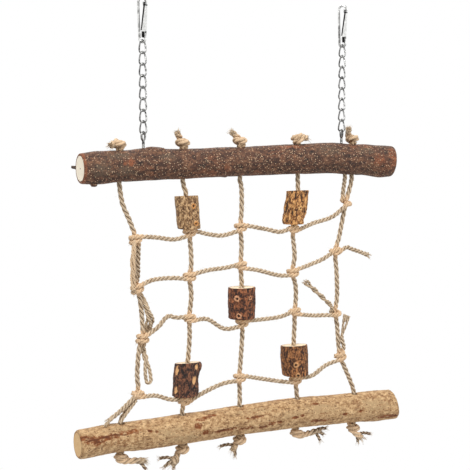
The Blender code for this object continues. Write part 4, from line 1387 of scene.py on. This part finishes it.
def bead_bark(radius, furrow, grit, scars=(), chips=(), bumps=()):
    """A bead's relief and tints: bumps, scar rings, chips of bare wood, and painted shade in deep furrows
    and the scars' hollow middles.
    """

    def bark(along, angle, spot):
        deep = noise.noise(Vector((spot.x / 2.2, spot.y / 2.2, spot.z / 11)))
        height = 0.35 * noise.noise(spot / 8) + furrow * deep + grit * rough(spot, (1, 1.5), (0.6, 0.7))
        for at, turn, size, stand_out in bumps:
            height += stand_out * near(round_scar(along, angle, radius, at, turn, size), 0.3, 0.9)
        ring = 0.0
        # dark is painted shade, in the bottoms of deep furrows and in the scars' sunken middles.
        dark = near(deep + 0.45, 0, 0.25) if furrow > DEEP_FURROW else 0.0
        for at, turn, size in scars:
            away = round_scar(along, angle, radius, at, turn, size) + 0.22 * noise.noise(spot / 1.3)
            rim = near(abs(away - 0.8), 0.16, 0.2)
            ring = max(ring, rim)
            dark = max(dark, near(away, 0.3, 0.25))
            height += 0.5 * rim - 0.5 * near(away, 0.35, 0.25)
        bare = 0.0
        for at, turn, length, width in chips:
            dx = (along - at) / MM / length
            dy = turned(angle, turn) * radius / MM / width
            ragged = 0.35 * noise.noise(spot / 1.8)
            bare = max(bare, near(math.hypot(dx, dy) + ragged, 0.75, 0.2))
        height -= 0.45 * bare
        return height, (ring, bare, dark)

    return bark


def bead_finish(name, dark, main, light, scar, bare):
    """Bead bark: clouded and streaked along the grain, with scar rings, bare chips, and painted shade in
    the furrows and scar hollows.
    """
    bark = Finish(name, 0.82)
    cloud = bark.grain(bark.place(2.5, (1, 1, 1.5)), detail=10, roughness=0.8)
    streak = bark.grain(bark.place(1.2, (1, 1, 1.8)), detail=6, roughness=0.7)
    fine = bark.grain(bark.place(0.45), detail=4, roughness=0.7)
    colour = bark.ramp(cloud, (0.435, dark), (0.50, main), (0.565, light))
    colour = bark.over(colour, dark, bark.band(streak, 0.50, 0.62), bark.band(fine, 0.3, 0.6))
    colour = bark.over(colour, light, bark.band(streak, 0.44, 0.34), bark.band(cloud, 0.4, 0.6))
    colour = bark.over(colour, light, bark.specks(bark.place(1.2), 0.34, 0.35))
    colour = bark.over(colour, BEAD_PIT, bark.specks(bark.place(1.5), 0.34, 0.4))
    # Painted shade in the furrows and the scars' hollow middles.
    colour = bark.over(colour, BEAD_HOLLOW_SHADE, bark.mask("tint", "Z"))
    colour = bark.over(colour, scar, bark.mask("tint", "X"), bark.band(fine, 0.1, 0.5))
    colour = bark.over(colour, bare, bark.mask("tint", "Y"))
    normal = bark.relief(fine, 0.35)
    normal = bark.relief(cloud, 0.5, normal)
    return bark.done(colour, normal)


BEAD_SAWN = sawn_wood(
    "bead_sawn_end",
    pale=(244, 226, 196),
    ring=(226, 196, 156),
    rim=(196, 140, 88),
    bark_edge=(84, 56, 36),
)
# The colours of a bead are its dark, main, light, scar and bare ones.
BEADS = {
    "upper_left_bead": dict(
        size=(0.0232, 0.0178),
        foot_drop=0.0018,
        top_cut=(0.0008, 0.09),
        relief=dict(furrow=0.24, grit=0.16, scars=((0.0173, 100, 1.8), (0.0044, 109, 1.8))),
        colours=((78, 50, 29), (164, 125, 83), (218, 181, 135), (216, 150, 84), (210, 170, 116)),
    ),
    "upper_right_bead": dict(
        size=(0.0260, 0.0174),
        foot_drop=0.0006,
        top_cut=(0.0006, 0.09),
        relief=dict(
            furrow=1.05,
            grit=0.24,
            scars=((0.0130, 88, 1.5),),
            bumps=((0.0050, 334, 5.0, 0.9), (0.0030, 154, 4.0, -0.9)),
        ),
        colours=((52, 27, 12), (162, 103, 52), (236, 180, 114), (230, 184, 124), (206, 160, 104)),
    ),
    "middle_bead": dict(
        size=(0.0236, 0.0212),
        foot_drop=0.0010,
        top_cut=(0.0003, 0.05),
        relief=dict(
            furrow=0.28, grit=0.26, scars=((0.0168, 45, 2.1), (0.0033, 52, 2.1), (0.0170, 101, 1.4))
        ),
        colours=((24, 11, 7), (82, 43, 25), (168, 104, 65), (214, 158, 118), (196, 144, 96)),
    ),
    "lower_left_bead": dict(
        size=(0.0246, 0.0198),
        foot_drop=0.0004,
        top_cut=(0.0022, 0.16),
        relief=dict(
            furrow=0.28,
            grit=0.26,
            chips=(
                (0.0200, 14, 4.0, 1.9), (0.0056, 19, 3.0, 1.9), (0.0130, 106, 3.4, 2.2),
                (0.0218, 112, 2.4, 1.6),
            ),
            bumps=((0.0212, 150, 4.0, 1.2), (0.0125, 154, 3.6, -0.7), (0.0030, 150, 3.6, 0.7)),
        ),
        colours=((18, 10, 9), (62, 37, 28), (142, 92, 65), (170, 120, 76), (228, 176, 122)),
    ),
    "lower_right_bead": dict(
        size=(0.0238, 0.0216),
        foot_drop=0.0004,
        top_cut=(0.0012, 0.11),
        relief=dict(furrow=0.28, grit=0.24, scars=((0.0100, 68, 2.0), (0.0014, 76, 2.0))),
        colours=((30, 15, 8), (102, 59, 31), (188, 127, 76), (208, 156, 106), (196, 146, 98)),
    ),
}


def slant_top(bead, foot, axis, length, radius, rise, slope):
    """Saw a bead's top out of square: a rise at the front, falling to the back."""
    for point in bead.data.vertices:
        local = point.co - foot
        share = clamped((local.dot(axis) / length - TOP_CUT_FROM) / (1 - TOP_CUT_FROM))
        point.co += axis * gentle(share) * (rise - slope * (local.y + radius))


for name, (column, row) in BEAD_HITCHES.items():
    made_as = BEADS[name]
    length, diameter = made_as["size"]
    axis = hitch_axis(row, column)
    foot = net_point(*HITCHES[row][column]) + axis * (HITCH_PITCH / 2 + CROSS_RADIUS + BEAD_SEAT_GAP)
    foot -= axis * made_as["foot_drop"]
    length += made_as["foot_drop"]
    along = ring_places(length, BEAD_RINGS, BEAD_WEAR) + length / 2
    girth = np.interp(along / length, BEAD_SHARES, BEAD_GIRTHS)
    wear = worn_ends(along - length / 2, length, BEAD_WEAR, BEAD_WEAR)
    bead = branch(
        f"{name}_skin",
        foot,
        axis,
        Vector((-1, 0, 0)),
        along,
        np.zeros(len(along)),
        girth * diameter / 2 - wear,
        bead_bark(diameter / 2, **made_as["relief"]),
        BEAD_SIDES,
        (bead_finish(f"{name}_bark", *made_as["colours"]), BEAD_SAWN),
        bore=BEAD_BORE,
    )
    slant_top(bead, foot, axis, length, diameter / 2, *made_as["top_cut"])
    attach(bead, name)
    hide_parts(name)


# Screw eyes
# Nickel-plated steel wire bent into an eye, with a pointed thread rolled on its shank.
# Each is screwed by hand into the upper side of the top log.
EYE_CONTACT_Z = -0.0972
EYE_WIRE = 0.0016
EYE_WIDTH = 0.0080
EYE_SHANK_DIAMETER = 0.0022
EYE_DEPTH = 0.0150
TOUCH_GAP = 0.0003
EIGHTH_TURN = math.radians(45)
EYE_START = -90
EYE_END = 258
EYE_STEPS = 40
SHANK_STEPS = 120
THREAD_PITCH = 0.0011
THREAD_HEIGHT = 0.13 * MM
THREAD_ROOT = 0.08 * MM
THREAD_FROM = 0.0022
POINT_LENGTH = 0.005
POINT_GIRTH = 0.12
WIRE_SIDES = 14
WIRE_CREASE = math.radians(50)


def metal_finish(name, dark, bright, low, high, smear_and_reflection_mm=1.6):
    """Plated or plain steel with faint rolling marks, smears that are partly painted dark reflection, and a
    roughness from low to high.
    """
    metal = Finish(name, low)
    metal.shader.inputs["Metallic"].default_value = 1.0
    smear_and_reflection = metal.grain(metal.place(smear_and_reflection_mm), detail=5)
    scratch = metal.grain(metal.place(0.4, (1, 1, 6)), detail=3)
    # The dark end of this ramp is partly real smears and partly painted reflection.
    colour = metal.ramp(smear_and_reflection, (0.34, dark), (0.66, bright))
    ranged = metal.add("MapRange", {"Value": scratch, "To Min": low, "To Max": high}).outputs["Result"]
    return metal.done(colour, metal.relief(scratch, 0.02), ranged)


# The chain's dark smears are mostly painted reflection of dark surroundings.
CHAIN_NICKEL = metal_finish("nickel_wire", (58, 58, 58), (172, 172, 170), 0.16, 0.40)


def wire_mesh(name, runs, finish):
    """One or more wires as a mesh. A run is its points, the radius at each, and whether it is a loop."""
    points = []
    faces = []
    for line, radii, loop in runs:
        faces += tube_faces(len(points), len(line), WIRE_SIDES, loop)
        frames = carried([line[-1], *line, line[0]])[1:-1] if loop else carried(line)
        slip = 0.0
        if loop:
            way, side, other = frames[0]
            slip = math.atan2(frames[-1][1].dot(other), frames[-1][1].dot(side))
        for number, (spot, (way, side, other), radius) in enumerate(zip(line, frames, radii)):
            untwist = -slip * number / (len(line) - 1)
            for corner in range(WIRE_SIDES):
                angle = 2 * math.pi * corner / WIRE_SIDES + untwist
                points.append(spot + around(side, other, angle) * radius)
    made = meshed(name, [tuple(p) for p in points], faces, finish)
    made.data.set_sharp_from_angle(angle=WIRE_CREASE)
    return made


def plane_frame(x, z, turn):
    """A frame with its X level and turned about the upright, its Y up and its Z across the plane."""
    side = Vector((math.cos(turn), math.sin(turn), 0))
    up = Vector((0, 0, 1))
    made = Matrix((side, up, side.cross(up))).transposed().to_4x4()
    made.translation = Vector((x, 0, z))
    return made


def arc(centre, radius, first, last, steps):
    """Points on part of a circle, from one angle to another in degrees."""
    points = []
    for step in range(steps + 1):
        angle = math.radians(first + (last - first) * step / steps)
        points.append((centre[0] + radius * math.cos(angle), centre[1] + radius * math.sin(angle)))
    return points


def laid(plane, outline):
    """The points of a flat outline, laid on a plane."""
    return [plane @ Vector((across, up, 0)) for across, up in outline]


def shank_radii(length):
    """A thread's radius down the shank, which tapers to a point at its foot."""
    radii = []
    for step in range(SHANK_STEPS + 1):
        down = length * step / SHANK_STEPS
        thread = THREAD_HEIGHT * math.sin(2 * math.pi * down / THREAD_PITCH) if down > THREAD_FROM else 0
        taper = min(1, POINT_GIRTH + (length - down) / POINT_LENGTH)
        radii.append((EYE_SHANK_DIAMETER / 2 - THREAD_ROOT + thread) * taper)
    return radii


for side, x in EYE_HOLES_X.items():
    eye_radius = (EYE_WIDTH - EYE_WIRE) / 2
    crown = EYE_CONTACT_Z + EYE_WIRE / 2 + TOUCH_GAP / 2
    centre = plane_frame(x, crown - eye_radius, EIGHTH_TURN)
    bend = laid(centre, arc((0, 0), eye_radius, EYE_START, EYE_END, EYE_STEPS))
    bend_radii = [EYE_WIRE / 2] * len(bend)
    top = crown - 2 * eye_radius + EYE_WIRE / 4
    bottom = log_faces(x, *TOP_LOG_SIZES)[1] - EYE_DEPTH
    heights = [top + (bottom - top) * step / SHANK_STEPS for step in range(SHANK_STEPS + 1)]
    shank = [Vector((x, 0, height)) for height in heights]
    eye = wire_mesh(
        f"{side}_screw_eye_wire",
        ((bend, bend_radii, False), (shank, shank_radii(top - bottom), False)),
        CHAIN_NICKEL,
    )
    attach(eye, "hung_log")
    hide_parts(f"{side}_screw_eye")


# Chains
# Two short chains of twisted links, bent from nickel-plated wire and butt-welded in the middle of one side.
# The first link hangs in the clip's eye and the last one holds the screw eye.
CLIP_REACH = 0.0300
LINK_PITCH = 0.0084
LINK_WIRE = 0.0012
LINK_WIDTH = 0.0060
LINK_NUMBERS = range(1, 9)
BEND_STEPS = 14
SIDE_STEPS = 8
WELD_SWELL = 0.16
WELD_REACH = (0.15, 0.5)


def link_line(contact):
    """Centre line of a twisted link that hangs from contact, and its wire's radius along it."""
    half_width = (LINK_WIDTH - LINK_WIRE) / 2
    half_length = (LINK_PITCH + LINK_WIRE + TOUCH_GAP) / 2
    flat = half_length - half_width
    outline = []
    for end in (1, -1):
        for step in range(BEND_STEPS + 1):
            angle = math.pi * step / BEND_STEPS
            across = end * half_width * math.cos(angle)
            outline.append((across, end * (flat + half_width * math.sin(angle))))
        for step in range(1, SIDE_STEPS):
            outline.append((-end * half_width, end * flat * (1 - 2 * step / SIDE_STEPS)))
    middle = contact - Vector((0, 0, LINK_PITCH / 2))
    points = []
    radii = []
    for across, up in outline:
        twist = EIGHTH_TURN * up / half_length
        points.append(middle + Vector((across * math.cos(twist), across * math.sin(twist), up)))
        weld = near(abs(up) / MM, *WELD_REACH) if across > 0 else 0
        radii.append(LINK_WIRE / 2 * (1 + WELD_SWELL * weld))
    return points, radii


for side, x in EYE_HOLES_X.items():
    for number in LINK_NUMBERS:
        contact = Vector((x, 0, -CLIP_REACH - (number - 1) * LINK_PITCH))
        points, radii = link_line(contact)
        link = wire_mesh(f"{side}_link_{number}_wire", ((points, radii, True),), CHAIN_NICKEL)
        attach(link, f"link_pair_{number}")
        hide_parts(f"{side}_link_{number}")


# Snap clips
# Nickel-plated steel clips: a stiff wire bent into a hook, a spine and a small eye for the chain.
# A sprung strip gate closes the hook and turns on a rivet through a lug beside the eye.
# Near-black faces and pieces on the gate and at its rivet paint in the clip's shade.
CLIP_WIRE = 0.0018
HOOK_WIDTH = 0.0060
CLIP_EYE_WIDTH = 0.0047
NOSE_LENGTH = 0.0014
NOSE_TAPER = 0.8
CLIP_EYE_START = 75
CLIP_EYE_END = -180
HOOK_STEP = 0.0005
LUG_DIAMETER = 0.0031
LUG_SHARES = (-0.5, -0.46, 0.46, 0.5)
LUG_GIRTHS = (0.94, 1, 1, 0.94)
GATE_PIVOT_OFFSET = 0.0011
GATE_PIVOT_RISE = 0.0007
GATE_THICKNESS = 0.0008
GATE_EAR_THICKNESS = 0.0006
GATE_WIDTH = CLIP_WIRE + 2 * (TOUCH_GAP + GATE_EAR_THICKNESS)
GATE_LAP = 0.0014
GATE_STAND_OUT = 0.0004
GATE_SLOT_HEIGHT = 0.0053
SLOT_CORNERS = ((1, 1), (-1, 1), (-1, -1), (1, -1))
GATE_EDGE = 0.00012
SHARP_EDGE = math.radians(60)
INNER_FACING = -0.5
# Sizes of the near-black sheet that paints shade along the gate and under the nose.
SHADE_LEAF_ENDS = ((-0.0048, 0.0010), (-0.0225, 0.0006))
SHADE_LEAF_HEAD = (0.0014, 0.0035)
SHADE_LEAF_OVERLAP = 0.0004
SHADE_LEAF_THICKNESS = 1.06 * GATE_WIDTH
SPRING_TURNS = 6
SPRING_STEPS = 16
SPRING_RADIUS = 0.0008
SPRING_WIRE = 0.00040
SPRING_HEIGHT = 0.0044
SPRING_BELOW = 0.45
SPRING_SHIFT = 0.0003
CLIP_EYE_RADIUS = CLIP_EYE_WIDTH / 2
CLIP_EYE_CENTRE = -CLIP_REACH - CLIP_WIRE / 2 - TOUCH_GAP / 2 + CLIP_EYE_RADIUS
HOOK_RADIUS = HOOK_WIDTH / 2
HOOK_CENTRE = CLIP_WIRE / 2 - HOOK_RADIUS
NOSE_END = HOOK_CENTRE - NOSE_LENGTH
PIVOT = (GATE_PIVOT_OFFSET, CLIP_EYE_CENTRE + CLIP_EYE_RADIUS + GATE_PIVOT_RISE)
BRIGHT_NICKEL = metal_finish("nickel_plate", (206, 206, 204), (252, 252, 250), 0.14, 0.30)
# Large dark patches on the hook wire: painted reflection.
HOOK_NICKEL = metal_finish("nickel_hook_wire", (118, 118, 116), (246, 246, 244), 0.10, 0.28, smear_and_reflection_mm=3.2)
# A near-black finish for faces and pieces that paint in shade.
SHADE_STEEL = metal_finish("painted_shade_steel", (20, 20, 20), (46, 45, 44), 0.30, 0.50)


def clip_lines(plane):
    """Centre lines of a clip's hook wire, which starts round its eye, and of its lug."""
    line = arc((0, CLIP_EYE_CENTRE), CLIP_EYE_RADIUS, CLIP_EYE_START, CLIP_EYE_END, 36)
    foot = line[-1]
    bend = (-HOOK_RADIUS, NOSE_END - NOSE_LENGTH)
    for share in (0.25, 0.5, 0.75, 1.0):
        line.append((foot[0] + (bend[0] - foot[0]) * share, foot[1] + (bend[1] - foot[1]) * share))
    line += arc((0, HOOK_CENTRE), HOOK_RADIUS, 180, 0, 24)
    line += [(HOOK_RADIUS, HOOK_CENTRE - NOSE_LENGTH * 0.5), (HOOK_RADIUS, NOSE_END)]
    hook = even(laid(plane, line), HOOK_STEP)
    lug = [plane @ Vector((*PIVOT, CLIP_WIRE * share)) for share in LUG_SHARES]
    return hook, lug


def plate(name, outline, thickness, plane, finish):
    """A flat plate with that outline, half its thickness to each side of a plane, with eased edges."""
    shape = bmesh.new()
    corners = [shape.verts.new((across, up, -thickness / 2)) for across, up in outline]
    face = shape.faces.new(corners)
    raised = bmesh.ops.extrude_face_region(shape, geom=[face])
    moved = [v for v in raised["geom"] if isinstance(v, bmesh.types.BMVert)]
    bmesh.ops.translate(shape, verts=moved, vec=(0, 0, thickness))
    bmesh.ops.recalc_face_normals(shape, faces=shape.faces)
    sharp = [e for e in shape.edges if e.calc_face_angle(0) > SHARP_EDGE]
    bmesh.ops.bevel(shape, geom=sharp, offset=GATE_EDGE, segments=2, affect="EDGES", clamp_overlap=True)
    mesh = bpy.data.meshes.new(name)
    shape.to_mesh(mesh)
    shape.free()
    mesh.transform(plane)
    mesh.materials.append(finish)
    return stand(name, mesh)


def cut_out(piece, tool):
    """Cut a tool's shape out of a piece and throw the tool away."""
    change = piece.modifiers.new("cut", "BOOLEAN")
    change.operation = "DIFFERENCE"
    change.solver = "EXACT"
    change.object = tool
    result = piece.evaluated_get(bpy.context.evaluated_depsgraph_get())
    mesh = bpy.data.meshes.new_from_object(result)
    piece.modifiers.clear()
    piece.data = mesh
    bpy.data.objects.remove(tool)


def gate_outline():
    """The gate's side view: a tongue behind the hook's nose, a strip, and round ears on the rivet."""
    tongue = HOOK_RADIUS - CLIP_WIRE / 2 - TOUCH_GAP
    face = HOOK_RADIUS + GATE_STAND_OUT
    tip = NOSE_END + GATE_LAP
    step = NOSE_END - TOUCH_GAP
    shoulder = NOSE_END - GATE_LAP
    outline = [
        (tongue, tip),
        (tongue - GATE_THICKNESS, tip),
        (tongue - GATE_THICKNESS, step - TOUCH_GAP),
        (face - GATE_THICKNESS, shoulder - GATE_THICKNESS),
    ]
    outline += arc(PIVOT, LUG_DIAMETER / 2, 180, 360, 16)
    outline += [(face, shoulder - GATE_THICKNESS), (face, shoulder), (tongue, step)]
    return outline


def shade_leaf_outline():
    """Side view of a near-black sheet on the gate's inner edge, with a head under the hook's nose, painting
    in their shade.
    """
    top = (HOOK_RADIUS + GATE_STAND_OUT - GATE_THICKNESS, NOSE_END - GATE_LAP - GATE_THICKNESS)
    foot = (PIVOT[0] - LUG_DIAMETER / 2, PIVOT[1])
    inner = []
    outer = []
    for height, width in SHADE_LEAF_ENDS:
        share = (height - top[1]) / (foot[1] - top[1])
        edge = top[0] + (foot[0] - top[0]) * share
        inner.append((edge - width, height))
        outer.append((edge + SHADE_LEAF_OVERLAP, height))
    head_top = NOSE_END - TOUCH_GAP
    head_foot = SHADE_LEAF_ENDS[0][0]
    head_inner, head_outer = SHADE_LEAF_HEAD
    outline = [(head_inner, head_top), (head_inner, head_foot), *inner, *outer[::-1]]
    return [*outline, (head_outer, head_foot), (head_outer, head_top)]


for side, x in EYE_HOLES_X.items():
    plane = plane_frame(x, 0, -EIGHTH_TURN)
    hook, lug = clip_lines(plane)
    hook_radii = [CLIP_WIRE / 2] * len(hook)
    hook_radii[-1] *= NOSE_TAPER
    lug_radii = [LUG_DIAMETER / 2 * girth for girth in LUG_GIRTHS]
    wires = ((hook, hook_radii, False), (lug, lug_radii, False))
    clip = wire_mesh(f"{side}_clip_hook", wires, HOOK_NICKEL)
    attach(clip, "hang_clips")
    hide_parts(f"{side}_clip_body")

    gate = plate(f"{side}_clip_gate_strip", gate_outline(), GATE_WIDTH, plane, BRIGHT_NICKEL)
    half = GATE_SLOT_HEIGHT / 2
    slot = [(PIVOT[0] + dx * half, PIVOT[1] + dy * half) for dx, dy in SLOT_CORNERS]
    cut_out(gate, plate("gate_slot", slot, CLIP_WIRE + 2 * TOUCH_GAP, plane, BRIGHT_NICKEL))
    gate.data.materials.append(SHADE_STEEL)
    across = plane.to_3x3() @ Vector((1, 0, 0))
    flat = plane.inverted()
    # The gate's inner edge faces and its tongue above the nose take the near-black finish: painted shade.
    for face in gate.data.polygons:
        centre = flat @ face.center
        inner_edge = face.normal.dot(across) < INNER_FACING
        face.material_index = int(inner_edge or centre.y > NOSE_END - TOUCH_GAP)
    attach(gate, f"{side}_gate")
    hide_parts(f"{side}_clip_gate")
    # A near-black sheet on the gate's inner edge and under the nose: painted shade.
    shade_leaf = plate(f"{side}_gate_shade_leaf", shade_leaf_outline(), SHADE_LEAF_THICKNESS, plane, SHADE_STEEL)
    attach(shade_leaf, f"{side}_gate")

    # A coil spring at the rivet, near black so that it stands in for the shade in the gate's channel.
    turns = []
    for step in range(SPRING_TURNS * SPRING_STEPS + 1):
        angle = 2 * math.pi * step / SPRING_STEPS
        out = PIVOT[0] + SPRING_SHIFT + SPRING_RADIUS * math.cos(angle)
        up = PIVOT[1] + SPRING_HEIGHT * (step / (SPRING_TURNS * SPRING_STEPS) - SPRING_BELOW)
        turns.append(plane @ Vector((out, up, GATE_WIDTH / 2 + SPRING_RADIUS * math.sin(angle))))
    spring = wire_mesh(f"{side}_gate_spring", ((turns, [SPRING_WIRE] * len(turns), False),), SHADE_STEEL)
    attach(spring, "hang_clips")

    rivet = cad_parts[f"{side}_clip_rivet"]
    rivet.data.materials.clear()
    rivet.data.materials.append(BRIGHT_NICKEL)


# Floor, light and camera
# A plain white floor some way below the hanging wall, which fades to white beyond the wall's shadow.
# Light comes from all round, from a key lamp at the front left and from weaker ones right and behind.
WHITE = (1, 1, 1, 1)
FLOOR_Z = -0.463
FLOOR_SIDE = 3.0
FLOOR_CORNERS = ((-1, -1), (1, -1), (1, 1), (-1, 1))
FLOOR_PALE = 0.72
SHADOW_REACH = 0.20
FADE_REACH = 0.27
SKY_STRENGTH = 0.42
LAMPS = (
    ("key_lamp", (-0.51, -0.64, 0.92), 0.7, 17.0),
    ("fill_lamp", (0.9, -0.6, 0.25), 0.8, 5.0),
    ("back_lamp", (0.35, 0.95, 0.55), 0.8, 6.0),
)
LAMP_TARGET = Vector((0, 0, -0.2))
CAMERA_YAW = math.radians(-25.5)
CAMERA_TILT = math.radians(6.42)
CAMERA_DISTANCE = 0.9112
CAMERA_TARGET = Vector((-0.0111, 0, -0.1764))
PICTURE_SIDE = 470
FOCAL_PIXELS = 1181.35
SENSOR_WIDTH = 36


def seen_straight(nodes):
    """1 for what is seen directly, in a reflection or through something clear, and 0 for other light."""
    path = nodes.add("LightPath", {}).outputs
    seen = path["Is Camera Ray"]
    for kind in ("Is Glossy Ray", "Is Transmission Ray"):
        seen = nodes.add("Math", {0: seen, 1: path[kind]}, operation="MAXIMUM").outputs[0]
    return seen


def show(nodes, output, share, first, second):
    """Join two shaders, mixed by a share, to a tree's output."""
    mixed = nodes.add("MixShader", {0: share, 1: first.outputs[0], 2: second.outputs[0]})
    nodes.tree.links.new(mixed.outputs[0], nodes.tree.nodes[output].inputs["Surface"])


floor_paint = Finish("floor_paint", 0.9)
floor_paint.shader.inputs["Base Color"].default_value = (FLOOR_PALE, FLOOR_PALE, FLOOR_PALE, 1)
floor_paint.shader.inputs["Specular IOR Level"].default_value = 0
spot = floor_paint.add("NewGeometry", {}).outputs["Position"]
away = floor_paint.add("VectorMath", {0: spot, 1: (0, 0, FLOOR_Z)}, operation="DISTANCE").outputs["Value"]
faded = floor_paint.times(floor_paint.band(away, SHADOW_REACH, FADE_REACH), seen_straight(floor_paint))
white = floor_paint.add("Emission", {"Color": WHITE, "Strength": 1.0})
show(floor_paint, "Material Output", faded, floor_paint.shader, white)
corners = [(across * FLOOR_SIDE, back * FLOOR_SIDE, FLOOR_Z) for across, back in FLOOR_CORNERS]
floor = meshed("floor", corners, [(0, 1, 2, 3)], floor_paint.material)

world = bpy.data.worlds.new("studio")
world.use_nodes = True
bpy.context.scene.world = world
sky = Nodes(world.node_tree)
sky_light = sky.tree.nodes["Background"]
sky_light.inputs["Color"].default_value = WHITE
sky_light.inputs["Strength"].default_value = SKY_STRENGTH
sky_white = sky.add("Background", {"Color": WHITE, "Strength": 1.0})
show(sky, "World Output", seen_straight(sky), sky_light, sky_white)

for name, place, size, power in LAMPS:
    light = bpy.data.lights.new(name, "AREA")
    light.energy = power
    light.size = size
    lamp = stand(name, light)
    lamp.location = place
    lamp.rotation_euler = (LAMP_TARGET - Vector(place)).to_track_quat("-Z", "Y").to_euler()

camera_data = bpy.data.cameras.new("camera")
camera_data.sensor_width = SENSOR_WIDTH
camera_data.lens = FOCAL_PIXELS / PICTURE_SIDE * SENSOR_WIDTH
camera = stand("camera", camera_data)
back = Vector(
    (
        math.sin(CAMERA_YAW) * math.cos(CAMERA_TILT),
        -math.cos(CAMERA_YAW) * math.cos(CAMERA_TILT),
        math.sin(CAMERA_TILT),
    )
)
camera.location = CAMERA_TARGET + back * CAMERA_DISTANCE
camera.rotation_euler = (-back).to_track_quat("-Z", "Y").to_euler()
bpy.context.scene.camera = camera
bpy.context.scene.view_settings.view_transform = "Standard"

bpy.context.view_layer.update()
